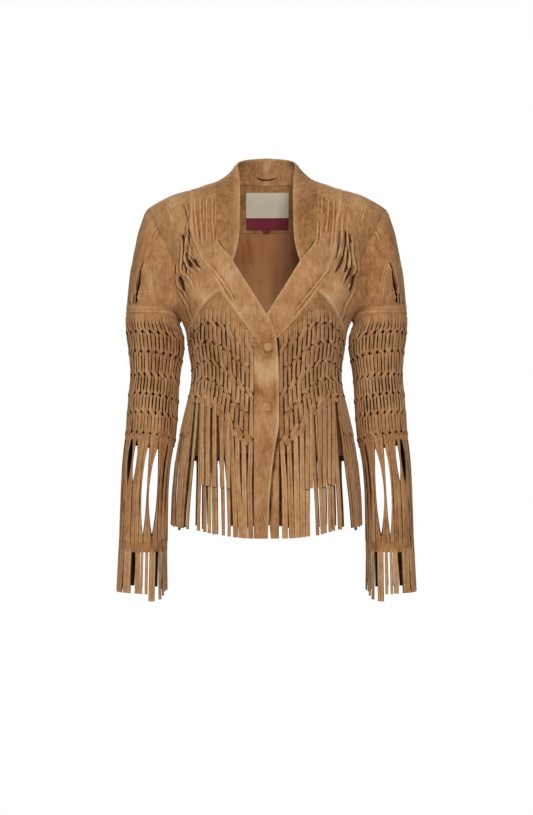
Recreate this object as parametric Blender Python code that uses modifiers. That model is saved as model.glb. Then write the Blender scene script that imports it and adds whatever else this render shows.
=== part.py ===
"""A woman's short suede jacket with slashed, plaited and fringed panels.

It keeps the hollow shape it has when worn, with nobody in it. Lengths are millimetres
until a mesh is made. X runs to the wearer's left, Y to the back and Z up. The origin
is at the base of the neck, level with the tops of the shoulders that hold it up.
"""
import math

import bmesh
import bpy
import numpy as np
from mathutils import Vector

MILLIMETRE = 0.001
TO_LEFT = 1
TO_RIGHT = -1
SIDES = {"right": TO_RIGHT, "left": TO_LEFT}

# Thickness of each layer
SUEDE = 1.6
COLLAR_SUEDE = 2.2
LINING = 1.0
LABEL = 0.8

# Room left between pieces
SEAM = 0.3
SEAM_AROUND = 0.4
SHOULDER_SEAM = 1.0
LAP = 2.3
LINING_DEPTH = 5.0
FACING_DEPTH = 4.4
ARMHOLE_SEAM = 1.0
COLLAR_SEAM = 1.5
COLLAR_BACK_SEAM = 0.6
SLEEVE_SPLIT = 0.6
CENTRE_BACK_TURN = 0.002
SIDE_TURN = 0.003

# Body form
SQUARE = 0.91
SHOULDER_Y = 5.0
SHOULDER_ROLL = 48.0
SHOULDER_CLEAR = 0.008
SHOULDER_END = 196.0
NECK_WIDTH = 82.0
ARMPIT = -215.0

# Front panels
PLACKET = 20.0
STRIPS = 15
KNEE_COLUMN = 9
KNEE = 84.0
YOKE_END = -246.0
PLACKET_COLUMNS = 2
SLIT = 4.3
FRONT_HEM = -567.0
SIDE_HEM = -552.0

# Back
BACK_YOKE_SEAM = -112.0
BACK_HEM = -440.0
LINING_HEM = -436.0

# Sleeves
SLEEVE_STRIPS = 12
SLEEVE_RADIUS = 44.0
CAP_COLUMNS = 10
SLEEVE_SEAM = -200.0
ARMPIT_DIP = 22.0
CUFF_BAND = -601.0
CUFF_END = -660.0

# Fringe
ROOT = 8.0
STRAND = 6.6
STRAND_RADIUS = 118.0
ROOT_GAP_SHARE = 0.2
BACK_STRAND_HALF = 0.27
CUFF_STRAND_HALF = 0.29


class Table:
    """Rows of sizes under named columns, read smoothly along the first column."""

    def __init__(self, names, *rows):
        self.names = names.split()
        self.columns = np.array(sorted(rows), float).T

    def at(self, name, key):
        xs = self.columns[0]
        ys = self.columns[self.names.index(name)]
        key = min(max(key, xs[0]), xs[-1])
        i = min(int(np.searchsorted(xs, key, side="right")) - 1, len(xs) - 2)
        step = xs[i + 1] - xs[i]
        t = (key - xs[i]) / step
        start, end = (self.slope(xs, ys, k) * step for k in (i, i + 1))
        return ((1 + 2 * t) * (1 - t) ** 2 * ys[i] + t * (1 - t) ** 2 * start
                + t * t * (3 - 2 * t) * ys[i + 1] + t * t * (t - 1) * end)

    def straight(self, name, key):
        """The same, with straight lines from row to row."""
        return float(np.interp(key, self.columns[0], self.columns[self.names.index(name)]))

    @staticmethod
    def slope(xs, ys, i):
        """Slope at a row that never lets the curve pass its neighbours."""
        rises = np.diff(ys) / np.diff(xs)
        if i in (0, len(xs) - 1):
            return rises[min(i, len(rises) - 1)]
        before, after = rises[i - 1], rises[i]
        if before * after <= 0:
            return 0.0
        return 2 * before * after / (before + after)


# The body's rings: half width at the side seams, depth to the front and to the back
BODY = Table(
    "z width front back",
    (62, 216, 48, 66),
    (0, 212, 62, 72),
    (-31, 208, 74, 79),
    (-64, 194, 87, 85),
    (-96, 178, 97, 89),
    (-119, 168, 104, 92),
    (-151, 164, 110, 95),
    (-181, 157, 116, 96),
    (-201, 149, 119, 96),
    (-215, 141, 120, 95),
    (-230, 134.5, 118, 92),
    (-244, 131, 116, 90),
    (-264, 128, 112, 87),
    (-304, 123.5, 106, 84),
    (-333, 126, 107, 87),
    (-353, 131, 109, 91),
    (-393, 140.5, 113, 99),
    (-430, 148, 117, 106),
    (-470, 153, 120, 111),
    (-510, 156, 123, 114),
    (-570, 158, 126, 117),
)

# Height of the shoulder seam, and of the neck seam's imagined rise inside it
SHOULDER = Table(
    "x z",
    (0, 62), (46, 50), (60, 36), (70, 25), (82, 14.5), (100, 8.5), (115, 3),
    (143, -4.5), (153, -7.5), (171, -16), (184, -23), (196, -31), (206, -40),
)

NECK = Table("x z", (0, 14), (38, 15), (66, 16), (78, 15.2), (82, 14.5))

# How far out the armhole seam lies at each height
ARMHOLE = Table(
    "z front back",
    (-31, 196, 196),
    (-37, 191, 192),
    (-64, 179, 181),
    (-96, 163, 166),
    (-119, 154.5, 158),
    (-157, 151, 153),
    (-181, 146, 148),
    (-201, 142.8, 143.4),
    (-215, 141, 141),
)

# The lapel band from the shoulder to its lower end: free or collar edge, and outer seam
LAPEL = Table(
    "row inner inner_z outer_right outer_left outer_z",
    (0, 82.0, 14.0, 128, 127, -1),
    (1, 82.0, 8.0, 127, 126, -8),
    (2, 82.2, -8.0, 126, 125, -22),
    (3, 82.0, -26, 125, 122, -40),
    (4, 81.4, -48, 126, 117, -62),
    (5, 80.4, -70, 121, 115, -85),
    (6, 79, -88, 113, 114, -107),
    (7, 54, -124, 104, 109, -125),
    (8, 38, -150, 90, 100, -145),
    (9, 18, -182, 75, 84, -174),
    (10, 3, -206, 54, 62, -202.5),
    (11, -7, -223, 38, 44.5, -224.5),
    (12, -15, -241, 20, 20, -249),
)
LAPEL_ROWS = 12
YOKE_ROWS = 9

# Seam over each front: up along the lapel to a point, then down under the yoke to the side
FRONT_SEAM = {
    TO_RIGHT: Table(
        "u z",
        (20, -249), (38, -224.5), (54, -202.5), (75, -174),
        (84, -179.5), (93.5, -187.5), (106, -204), (117, -224), (131, -246),
    ),
    TO_LEFT: Table(
        "u z",
        (20, -249), (44.5, -224.5), (62, -202.5), (84, -174),
        (93.5, -183), (101, -193), (110, -207), (119, -226), (131, -246),
    ),
}
POINT_COLUMN = {TO_RIGHT: 10, TO_LEFT: 9}

# Heights of the first and last plaited rows of a front
PLAITS = Table(
    "u first last",
    (20, -268, -414),
    (28, -262, -409),
    (39, -254, -400),
    (54, -245, -386),
    (66, -232, -373),
    (75, -227, -361),
    (93.5, -223, -346),
    (106, -226, -341),
    (117, -238, -340),
    (131, -262, -343),
)

# Front edges, measured towards the panel's own side
FRONT_EDGE = Table(
    "z right left",
    (-240, -15, -16),
    (-262, -17, -16),
    (-290, -19, -16),
    (-344, -20, -16),
    (-378, -20, -16),
    (-432, -12, -12),
    (-475, -7, -6),
    (-516, -4, 2),
    (-568, -2.4, 7),
)

# Half of the collar: its seam on the body, and its free edge
COLLAR = Table(
    "station seam_x seam_z edge_x edge_y edge_z",
    (0, 79, -88, 54, -101, -124),
    (1, 80.4, -70, 49, -93, -107),
    (2, 81.4, -48, 45, -81, -84),
    (3, 82, -26, 44, -66, -58),
    (4, 82.2, -8, 44, -50, -30),
    (5, 82, 8, 44.3, -32, -4),
    (6, 82, 14.5, 45.5, -8, 20),
    (7, 78, 15.2, 48.5, 12, 36),
    (8, 66, 16, 49.5, 33, 48),
    (9, 38, 15, 34, 58, 57),
    (10, 0, 14, 0, 69, 61),
)
COLLAR_STATIONS = 10
COLLAR_SHOULDER = 6
COLLAR_BULGE = 4.0
COLLAR_END = 0.07

# Sleeve rings: outer and inner edge seen from the front, half depth, centre line
SLEEVE = Table(
    "z outer inner depth y",
    (-200, 231, 145.5, 49, 0),
    (-222, 232, 143.5, 48, 0.5),
    (-230, 231.3, 140, 47.5, 1),
    (-244, 230, 136, 47, 1),
    (-264, 227, 136.5, 46, 1.5),
    (-284, 225, 139.5, 45, 2),
    (-304, 223.6, 142.7, 44, 2),
    (-333, 226.5, 144.6, 43, 1),
    (-353, 228.5, 146, 43, 0),
    (-393, 231, 148.5, 42.5, -2),
    (-430, 235, 153.5, 42, -4),
    (-452, 237, 157, 42, -5),
    (-502, 240, 161, 41, -8),
    (-561, 242, 162.5, 40.5, -11),
    (-601, 243.3, 163, 40.5, -13),
    (-663, 246, 163, 42, -14),
)

# Rows down the plaited part of a sleeve; a plaited row every second one from row 3 to 13
NET_ROWS = (-200, -208, -222, -237, -253, -270, -288, -305, -321, -338, -354, -371,
            -388, -405, -416, -450, -495, -540, -577, -601)
NET_FIRST_SLIT = 1
NET_LAST_PLAIT = 13
NET_SLOPE = 5.0
LONG_SLIT_TOP = 14
LONG_SLIT_END = 18

# Long open slits of the lower sleeve: column from the outer edge, width
LONG_SLITS = Table(
    "column width",
    (1, 3.5),
    (3, 5),
    (6, 10),
    (8, 10),
    (10, 4.5),
)

# Slashes of the front yoke: column from the lapel, first and last row
YOKE_SLITS = Table(
    "column top bottom",
    (2, 4, 7),
    (3, 6, 8),
    (4, 3, 6),
    (5, 6, 8),
    (6, 4, 7),
)

# How far a hem strand has turned towards the centre front at the hem, in degrees
STRAND_TURN = Table(
    "angle turn",
    (0, 0), (14, 0.6), (30, 4.2), (45, 7), (65, 9), (80, 6), (90, 0),
)
UPPER_STRANDS = (105, 97, 89, 81, 73, 65, 57)
UPPER_END = -482.0
UPPER_OUT = 2.8
UPPER_RISE = 14.0
BACK_STRANDS = 26
CUFF_STRANDS = 20

# Colour and roughness of each material
SUEDE_COLOURS = {
    "front": (0.37, 0.21, 0.105),
    "yoke": (0.40, 0.235, 0.125),
    "sleeve": (0.31, 0.175, 0.085),
    "fringe": (0.35, 0.20, 0.10),
    "collar": (0.33, 0.18, 0.085),
}
SUEDE_ROUGHNESS = 0.95


def clear_scene():
    for item in list(bpy.data.objects):
        bpy.data.objects.remove(item, do_unlink=True)


def new_collection(name):
    collection = bpy.data.collections.new(name)
    bpy.context.scene.collection.children.link(collection)
    return collection


def finish_material(name, colour, roughness):
    material = bpy.data.materials.new(name)
    material.use_nodes = True
    shader = material.node_tree.nodes["Principled BSDF"]
    shader.inputs["Base Color"].default_value = (*colour, 1.0)
    shader.inputs["Roughness"].default_value = roughness
    shader.inputs["Metallic"].default_value = 0.0
    return material


def suede(name, part):
    return finish_material(name, SUEDE_COLOURS[part], SUEDE_ROUGHNESS)


def mix(a, b, t):
    return a + (b - a) * t


def ease(t):
    t = min(max(t, 0.0), 1.0)
    return t * t * (3 - 2 * t)


def signed_power(value, power):
    return math.copysign(abs(value) ** power, value)


# The form that every body panel lies on

def angle_at(u, z, back=False):
    """Angle round the body of the point `u` out from the centre at height z."""
    share = min(abs(u) / BODY.at("width", z), 1.0)
    angle = math.copysign(math.asin(share ** (1 / SQUARE)), u)
    return math.pi - angle if back else angle


def body_face(side, angle, z):
    sine, cosine = math.sin(angle), math.cos(angle)
    u = BODY.at("width", z) * signed_power(sine, SQUARE)
    depth = BODY.at("front" if cosine > 0 else "back", z)
    y = -depth * signed_power(cosine, SQUARE)
    drop = SHOULDER.at("z", abs(u)) - z
    turn = min(max(drop / SHOULDER_ROLL, 0.0), 1.0)
    rise = max(math.sqrt(1 - (1 - turn) ** 2), SHOULDER_CLEAR)
    return Vector((side * u, SHOULDER_Y + (y - SHOULDER_Y) * rise, z))


def body(side, angle, z, out=0.0):
    """Point on the body form, moved out along its normal."""
    here = body_face(side, angle, z)
    if out == 0:
        return here
    along = body_face(side, angle + 0.02, z) - body_face(side, angle - 0.02, z)
    down = body_face(side, angle, z - 1.5) - body_face(side, angle, z - 0.1)
    normal = along.cross(down).normalized()
    if normal.dot(here - Vector((0, 0, z - 30))) < 0:
        normal = -normal
    return here + normal * out


def lap(side, u):
    """How far the left front goes in where the right front laps over it."""
    return -LAP * ease((58 - u) / 18) if side == TO_LEFT else 0.0


def on_front(side, u, z, out=0.0):
    return body(side, angle_at(u, z), z, out + lap(side, u))


# Sheets of cloth

def thicken(name, collection, corners, faces, inside, thickness, material):
    """Object from a single layer of faces, thickened towards the point `inside`."""
    mesh = bpy.data.meshes.new(name)
    mesh.from_pydata([point * MILLIMETRE for point in corners], [], faces)
    shape = bmesh.new()
    shape.from_mesh(mesh)
    facing = sum((face.normal.dot(face.calc_center_median() - inside * MILLIMETRE)
                  * face.calc_area() for face in shape.faces))
    if facing < 0:
        bmesh.ops.reverse_faces(shape, faces=shape.faces)
    shape.to_mesh(mesh)
    shape.free()
    mesh.shade_smooth()
    mesh.materials.append(material)
    item = bpy.data.objects.new(name, mesh)
    collection.objects.link(item)
    wall = item.modifiers.new("thickness", "SOLIDIFY")
    wall.thickness = thickness * MILLIMETRE
    wall.offset = -1.0
    return item


def across(point, column, row):
    """Direction of a sheet from one column to the next."""
    return (point(column + 0.4, row) - point(column - 0.4, row)).normalized()


def sheet(name, collection, point, columns, rows, inside, thickness, material,
          slits=(), keep=None):
    """Sheet over point(column, row). A slit's inner points part to both sides of it."""
    parted = {}
    for column, first, last, width in slits:
        for row in range(first + 1, last):
            open_here = math.sin(math.pi * (row - first) / (last - first))
            parted[column, row] = width / 2 * open_here ** 0.5
    corners = []
    numbers = {}

    def corner(column, row, towards):
        half = parted.get((column, row), 0.0)
        key = (column, row, towards if half else 0)
        if key not in numbers:
            place = point(column, row)
            if half:
                place = place + across(point, column, row) * half * towards
            numbers[key] = len(corners)
            corners.append(place)
        return numbers[key]

    faces = []
    for row in range(rows):
        for column in range(columns):
            if keep is None or keep(column, row):
                faces.append((corner(column, row, 1), corner(column + 1, row, -1),
                              corner(column + 1, row + 1, -1), corner(column, row + 1, 1)))
    return thicken(name, collection, corners, faces, inside, thickness, material)


def fringe(name, collection, root, strand, count, steps, inside, material, ring=False):
    """Strands that hang from one narrow strip.

    root(position, row) is the strip, position 0 to count, row 0 at its top and 1 below.
    strand(number, edge, step) is a strand's point, edge -1 or 1, step 1 to `steps`.
    """
    corners = []
    faces = []

    def add(place):
        corners.append(place)
        return len(corners) - 1

    tops = []
    for number in range(count):
        ends = [number + ROOT_GAP_SHARE, number + 1 - ROOT_GAP_SHARE]
        tops.append([[add(root(position, row)) for row in (0, 1)] for position in ends])
    for number in range(count):
        left, right = tops[number]
        faces.append((left[0], right[0], right[1], left[1]))
        if number + 1 < count or ring:
            following = tops[(number + 1) % count][0]
            faces.append((right[0], following[0], following[1], right[1]))
        upper = (left[1], right[1])
        for step in range(1, steps + 1):
            lower = (add(strand(number, -1, step)), add(strand(number, 1, step)))
            faces.append((upper[0], upper[1], lower[1], lower[0]))
            upper = lower
    return thicken(name, collection, corners, faces, inside, SUEDE, material)


# Collar and lapels

def collar_point(column, row, out=0.0):
    """Collar from the right front end round the back to the left one; row 3 is its edge."""
    side = TO_RIGHT if column < COLLAR_STATIONS else TO_LEFT
    station = max(COLLAR_STATIONS - abs(column - COLLAR_STATIONS), COLLAR_END)
    seam_x = COLLAR.at("seam_x", station)
    seam_z = COLLAR.at("seam_z", station)
    back = station > COLLAR_SHOULDER
    start = body(side, angle_at(seam_x, seam_z, back), seam_z)
    end = Vector((side * COLLAR.at("edge_x", station), COLLAR.at("edge_y", station),
                  COLLAR.at("edge_z", station)))
    reach = (end - start).length
    seam = mix(COLLAR_SEAM, COLLAR_BACK_SEAM, ease(station - COLLAR_SHOULDER - 1))
    share = mix(seam / reach, 1, row / 3)
    place = start.lerp(end, share)
    outward = Vector((place.x, place.y + 15, 12)).normalized()
    bulge = COLLAR_BULGE * math.sin(math.pi * share) * ease(station / 2)
    return place + outward * (bulge + out)


def make_collar(collection):
    sheet("collar", collection, collar_point, 2 * COLLAR_STATIONS, 3, Vector((0, -15, -30)),
          COLLAR_SUEDE, suede("collar", "collar"))


def make_lapel(collection, name, side):
    outer = "outer_right" if side == TO_RIGHT else "outer_left"
    columns = 4

    def point(column, row):
        clear = SEAM if row <= 6 else 0.0
        start = LAPEL.at("inner", row) + clear
        end = LAPEL.at(outer, row) - SEAM
        share = column / columns
        u = mix(start, end, share)
        z = mix(LAPEL.at("inner_z", row), LAPEL.at("outer_z", row), share)
        if row == 0:
            z = SHOULDER.at("z", u)
        return on_front(side, u, z)

    sheet("lapel_" + name, collection, point, columns, LAPEL_ROWS, Vector((side * 60, 0, -120)),
          SUEDE, suede("lapel_" + name, "yoke"))


# Columns of a front, from the side seam (0) to the placket (STRIPS)

SIDE_ANGLE = math.pi / 2 - SIDE_TURN


def column_angle(column, z):
    knee = angle_at(KNEE, YOKE_END)
    if column <= KNEE_COLUMN:
        return mix(SIDE_ANGLE, knee, column / KNEE_COLUMN)
    return mix(knee, angle_at(PLACKET, z), (column - KNEE_COLUMN) / (STRIPS - KNEE_COLUMN))


def column_reach(column):
    """Distance from the centre at which a column runs straight up beside the yoke."""
    return BODY.at("width", YOKE_END) * math.sin(column_angle(column, YOKE_END)) ** SQUARE


def front_angle(column, z):
    if z > YOKE_END:
        return angle_at(column_reach(column), z)
    return column_angle(column, z)


# Front yokes, with their slashes

def lapel_share(row):
    """How far down the yoke a lapel row lies, from 0 at the shoulder to 1."""
    top, bottom = LAPEL.at("outer_z", 0), LAPEL.at("outer_z", YOKE_ROWS)
    return (LAPEL.at("outer_z", row) - top) / (bottom - top)


def make_front_yoke(collection, name, side):
    columns = POINT_COLUMN[side]
    outer = "outer_right" if side == TO_RIGHT else "outer_left"
    top_x = LAPEL.at(outer, 0) + SEAM
    end_x = SHOULDER_END - SEAM_AROUND

    def lapel_line(row):
        z = LAPEL.at("outer_z", row)
        return angle_at(LAPEL.at(outer, row) + SEAM, z), z

    def arm_line(row):
        z = mix(SHOULDER.at("z", SHOULDER_END), YOKE_END + 2 * SEAM, lapel_share(row))
        if z > ARMPIT:
            return angle_at(ARMHOLE.at("front", z) - SEAM_AROUND, z), z
        return SIDE_ANGLE, z

    def shoulder_line(share):
        x = mix(top_x, end_x, share)
        z = SHOULDER.at("z", x)
        return angle_at(x, z), z

    def seam_line(share):
        """The seam is shared with the front's columns, from its point to the side."""
        column = columns * (1 - share)
        u = column_reach(column)
        z = FRONT_SEAM[side].straight("z", u) + 2 * SEAM
        return (angle_at(u + SEAM * column / columns, z) if column > 0 else SIDE_ANGLE), z

    def point(column, row):
        s = min(max(column / columns, 0.0), 1.0)
        t = lapel_share(row)
        if row == 0:
            return body(side, *shoulder_line(s)) - Vector((0, SHOULDER_SEAM * s, 0))
        left, right = np.array(lapel_line(row)), np.array(arm_line(row))
        top, bottom = np.array(shoulder_line(s)), np.array(seam_line(s))
        a, b = np.array(shoulder_line(0)), np.array(shoulder_line(1))
        c, d = np.array(seam_line(0)), np.array(seam_line(1))
        angle, z = (left * (1 - s) + right * s + top * (1 - t) + bottom * t
                    - (a * (1 - s) + b * s) * (1 - t) - (c * (1 - s) + d * s) * t)
        return body(side, angle, z)

    slits = [(int(column), int(top), int(bottom), SLIT)
             for column, top, bottom in YOKE_SLITS.columns.T]
    sheet("front_yoke_" + name, collection, point, columns, YOKE_ROWS,
          Vector((side * 100, 0, -130)), SUEDE, suede("front_yoke_" + name, "yoke"), slits)


# Fronts: smooth at the top, plaited below, with a plain placket down to the hem

def height_on(curve, column):
    """Height at which a column of the front meets a curve given by distance from centre."""
    z = -250.0
    for _ in range(14):
        u = BODY.at("width", z) * math.sin(front_angle(min(column, STRIPS), z)) ** SQUARE
        z = curve(u)
    return z


LATTICE_ROWS = 13
PLACKET_ROWS = 17
FIRST_SLIT = 2
BANDS = 5
LATTICE_EDGE = 6.0
LAPEL_END_RISE = 8.0


def front_height(side, column, row):
    """Height of a grid point of a front; the plaited field ends at row LATTICE_ROWS."""
    top = height_on(lambda u: FRONT_SEAM[side].straight("z", u), column) - SEAM
    if column > STRIPS:
        top += LAPEL_END_RISE * (column - STRIPS) / PLACKET_COLUMNS
    first = height_on(lambda u: PLAITS.at("first", u), column)
    last = height_on(lambda u: PLAITS.at("last", u), column)
    start = min(top - 5, first + 16)
    first_plait = FIRST_SLIT + 2
    last_plait = FIRST_SLIT + 2 * BANDS
    if row <= FIRST_SLIT:
        return mix(top, start, row / FIRST_SLIT)
    if row <= first_plait:
        return mix(start, first, (row - FIRST_SLIT) / 2)
    if row <= last_plait:
        share = (row - first_plait) / (last_plait - first_plait)
        return mix(first, last + LATTICE_EDGE, share)
    if row == LATTICE_ROWS:
        return last
    return mix(last, FRONT_HEM, (row - LATTICE_ROWS) / (PLACKET_ROWS - LATTICE_ROWS))


def make_front(collection, name, side):
    columns = STRIPS + PLACKET_COLUMNS

    def point(column, row):
        z = front_height(side, column, row)
        if column <= STRIPS:
            angle = front_angle(column, z)
            u = BODY.at("width", z) * math.sin(angle) ** SQUARE
            return body(side, angle, z, lap(side, u))
        share = (column - STRIPS) / PLACKET_COLUMNS
        return on_front(side, mix(PLACKET, FRONT_EDGE.at(name, z), share), z)

    def keep(column, row):
        return row < LATTICE_ROWS or column >= STRIPS

    slits = []
    for band in range(BANDS):
        top = FIRST_SLIT + 2 * band
        for column in range(2 - band % 2, STRIPS, 2):
            slits.append((column, top, top + 2, SLIT))
    sheet("front_" + name, collection, point, columns, PLACKET_ROWS,
          Vector((side * 40, 0, -350)), SUEDE, suede("front_" + name, "front"), slits, keep)


def make_hem_fringe(collection, name, side):
    steps = 3

    def root_height(position):
        """Just under the plaited field, whose edge is straight between its columns."""
        low = min(int(position), STRIPS - 1)
        ends = [front_height(side, column, LATTICE_ROWS) for column in (low, low + 1)]
        return mix(*ends, position - low) - 2 * SEAM

    def root(position, row):
        z = root_height(position) - row * ROOT
        return body(side, front_angle(position, z), z)

    def strand(number, edge, step):
        share = step / steps
        hem = mix(SIDE_HEM, FRONT_HEM, ease(number / (STRIPS - 1)))
        z = mix(root_height(number + 0.5) - ROOT, hem, share)
        angle = front_angle(number + 0.5, z)
        turn = math.radians(STRAND_TURN.at("turn", math.degrees(angle))) * ease(share)
        spread = edge * STRAND / 2 / STRAND_RADIUS
        return body(side, angle - turn - spread, z)

    fringe("hem_fringe_" + name, collection, root, strand, STRIPS, steps,
           Vector((side * 40, 0, -470)), suede("hem_fringe_" + name, "fringe"))


def make_upper_fringe(collection, name, side):
    steps = 2
    count = len(UPPER_STRANDS)
    first, last = UPPER_STRANDS[0] + 4, UPPER_STRANDS[-1] - 4

    def root(position, row):
        u = mix(first, last, position / count)
        z = PLAITS.at("last", u) + UPPER_RISE - row * ROOT
        return body(side, angle_at(u, z), z, UPPER_OUT)

    def strand(number, edge, step):
        u = UPPER_STRANDS[number] - edge * STRAND / 2
        start = PLAITS.at("last", u) + UPPER_RISE - ROOT
        z = mix(start, UPPER_END, step / steps)
        return body(side, angle_at(u, z), z, UPPER_OUT + 1.2 * step / steps)

    fringe("upper_fringe_" + name, collection, root, strand, count, steps,
           Vector((side * 40, 0, -430)), suede("upper_fringe_" + name, "fringe"))


# Back: a yoke over two panels that meet at the centre, and a fringe

# Grid of the back yoke: columns out from the centre along its top, and rows down it
YOKE_COLUMNS = (0, 38, 66, 78, 82, 118, 157, SHOULDER_END - SEAM_AROUND)
YOKE_DROPS = (0.0, 0.04, 0.16, 0.38, 0.68, 1.0)


def make_back_yoke(collection):
    half = len(YOKE_COLUMNS) - 1

    def point(column, row):
        side = TO_LEFT if column > half else TO_RIGHT
        top_x = YOKE_COLUMNS[int(abs(column - half))]
        top_z = NECK.at("z", top_x) if top_x < NECK_WIDTH else SHOULDER.at("z", top_x)
        drop = YOKE_DROPS[int(row)]
        z = mix(top_z, BACK_YOKE_SEAM, drop)
        edge = ARMHOLE.at("back", z) - SEAM_AROUND
        x = mix(top_x, edge * top_x / YOKE_COLUMNS[-1], drop)
        return body(side, angle_at(min(x, edge), z, True), z)

    sheet("back_yoke", collection, point, 2 * half, len(YOKE_DROPS) - 1, Vector((0, 0, -80)),
          SUEDE, suede("back_yoke", "yoke"))


BACK_ROWS = (-112.3, -145, -180, -215.4, -250, -290, -330, -370, -405, -440)


def back_angle(share, z, clear):
    """Angle from the centre back (0) to the side seam or armhole (1)."""
    outer = math.pi / 2 + SIDE_TURN
    if z > ARMPIT:
        outer = angle_at(ARMHOLE.at("back", z) - clear, z, True)
    return mix(math.pi - CENTRE_BACK_TURN, outer, share)


def make_back(collection, name, side):
    columns = 6

    def point(column, row):
        z = BACK_ROWS[int(row)]
        return body(side, back_angle(column / columns, z, SEAM_AROUND), z)

    sheet("back_" + name, collection, point, columns, len(BACK_ROWS) - 1,
          Vector((side * 40, 0, -280)), SUEDE, suede("back_" + name, "front"))


def make_back_fringe(collection):
    steps = 2
    start = BACK_HEM - SEAM - ROOT

    def place(position, z):
        share = 2 * position / BACK_STRANDS - 1
        angle = math.pi - abs(share) * (math.pi / 2 - 0.02)
        return body(math.copysign(1, share), angle, z)

    def root(position, row):
        return place(position, BACK_HEM - SEAM - row * ROOT)

    def strand(number, edge, step):
        end = FRONT_HEM + 7 - 5 * math.sin(number * 2.4)
        z = mix(start, end, step / steps)
        return place(number + 0.5 + edge * BACK_STRAND_HALF, z)

    fringe("back_fringe", collection, root, strand, BACK_STRANDS, steps,
           Vector((0, 0, -500)), suede("back_fringe", "fringe"))


# Sleeves

def sleeve_seam_height(angle):
    """The seam under the sleeve cap dips to the armpit on the inner side."""
    return SLEEVE_SEAM - ARMPIT_DIP * max(0.0, -math.cos(angle)) ** 6


def sleeve_ring(side, angle, z):
    """Point on the sleeve; angle 0 at the outer line, 90 in front, 180 at the inner line."""
    outer, inner = SLEEVE.at("outer", z), SLEEVE.at("inner", z)
    x = (outer + inner) / 2 + (outer - inner) / 2 * math.cos(angle)
    y = SLEEVE.at("y", z) - SLEEVE.at("depth", z) * math.sin(angle)
    return Vector((side * x, y, z))


def armhole_line(side, face):
    """Evenly measured line down the armhole, from the shoulder to the armpit."""
    places = []
    for i in range(61):
        z = mix(-31, ARMPIT, (i / 60) ** 1.5)
        places.append(body(side, angle_at(ARMHOLE.at(face, z), z, face == "back"), z))
    lengths = np.array([(b - a).length for a, b in zip(places, places[1:])])
    travelled = np.concatenate([[0], np.cumsum(lengths)]) / lengths.sum()
    table = np.array(places)

    def at(share):
        return Vector([np.interp(share, travelled, table[:, axis]) for axis in range(3)])

    return at


def half_turn(face, share):
    """Angle round a sleeve for the front or back half, from the outer to the inner line."""
    margin = SLEEVE_SPLIT / SLEEVE_RADIUS
    angle = mix(margin, math.pi - margin, share)
    return angle if face == "front" else -angle


CAP_ROWS = (0.0, 0.07, 0.25, 0.45, 0.7, 0.93, 1.0)


def make_sleeve_cap(collection, name, side, face):
    line = armhole_line(side, face)
    nearest = -1 if face == "front" else 1

    def point(column, row):
        share = column / CAP_COLUMNS
        t = CAP_ROWS[int(row)]
        upper = max(0.0, math.cos(math.pi * share))
        start = line(share) + Vector((side * (ARMHOLE_SEAM + SUEDE * upper), 0, 0))
        start.y += nearest * SLEEVE_SPLIT
        angle = half_turn(face, share)
        end = sleeve_ring(side, angle, sleeve_seam_height(angle))
        outward = Vector((side * math.cos(angle), -math.sin(angle), 0.2)).normalized()
        swell = 8 * (1 + math.cos(math.pi * share)) / 2 + 4 * math.sin(math.pi * share)
        swell *= min(1.0, (end - start).length / 70)
        return start.lerp(end, t) + outward * swell * math.sin(math.pi * t ** 0.8)

    slits = [(3, 3, 5, 5.5)] if face == "front" else []
    sheet("sleeve_cap_%s_%s" % (face, name), collection, point, CAP_COLUMNS,
          len(CAP_ROWS) - 1, Vector((side * 185, 0, -130)), SUEDE,
          suede("sleeve_cap_%s_%s" % (face, name), "sleeve"), slits)


def make_sleeve_net(collection, name, side, face):
    last = len(NET_ROWS) - 1

    def point(column, row):
        angle = half_turn(face, column / SLEEVE_STRIPS)
        z = NET_ROWS[int(row)]
        if row == 0:
            z = sleeve_seam_height(angle) - 2 * SEAM_AROUND
        elif row < last:
            dip = ease(1 - (row - 1) / 3) * (SLEEVE_SEAM - sleeve_seam_height(angle))
            slope = NET_SLOPE * ease(row / 3) * ease((last - row) / 4)
            z += slope * math.cos(angle) - dip
        return sleeve_ring(side, angle, z)

    slits = []
    for band, top in enumerate(range(NET_FIRST_SLIT, NET_LAST_PLAIT, 2)):
        for column in range(1 + band % 2, SLEEVE_STRIPS, 2):
            slits.append((column, top, top + 2, SLIT))
    for column, width in LONG_SLITS.columns.T:
        slits.append((int(column), LONG_SLIT_TOP, LONG_SLIT_END, width))
    sheet("sleeve_net_%s_%s" % (face, name), collection, point, SLEEVE_STRIPS, last,
          Vector((side * 192, 0, -400)), SUEDE,
          suede("sleeve_net_%s_%s" % (face, name), "sleeve"), slits)


def make_cuff_fringe(collection, name, side):
    steps = 1
    turn = 2 * math.pi / CUFF_STRANDS

    def root(position, row):
        return sleeve_ring(side, position * turn, CUFF_BAND - SEAM - row * ROOT)

    def strand(number, edge, step):
        end = CUFF_END + 6 * math.sin(number * 1.9)
        return sleeve_ring(side, (number + 0.5 + edge * CUFF_STRAND_HALF) * turn, end)

    fringe("cuff_fringe_" + name, collection, root, strand, CUFF_STRANDS, steps,
           Vector((side * 203, -13, -630)), suede("cuff_fringe_" + name, "fringe"), ring=True)


# Inside: back neck facing, lining, label, size tab and hanger loop

FACING_HALF = 63.0
FACING_LOW = -64.0
FACING_WALL = 1.2


def inside_neck(x, z, deeper=0.0):
    """Point of the back neck facing, or of what lies on it."""
    side = math.copysign(1, x)
    return body(side, angle_at(abs(x), z, True), z, -FACING_DEPTH - deeper)


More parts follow.
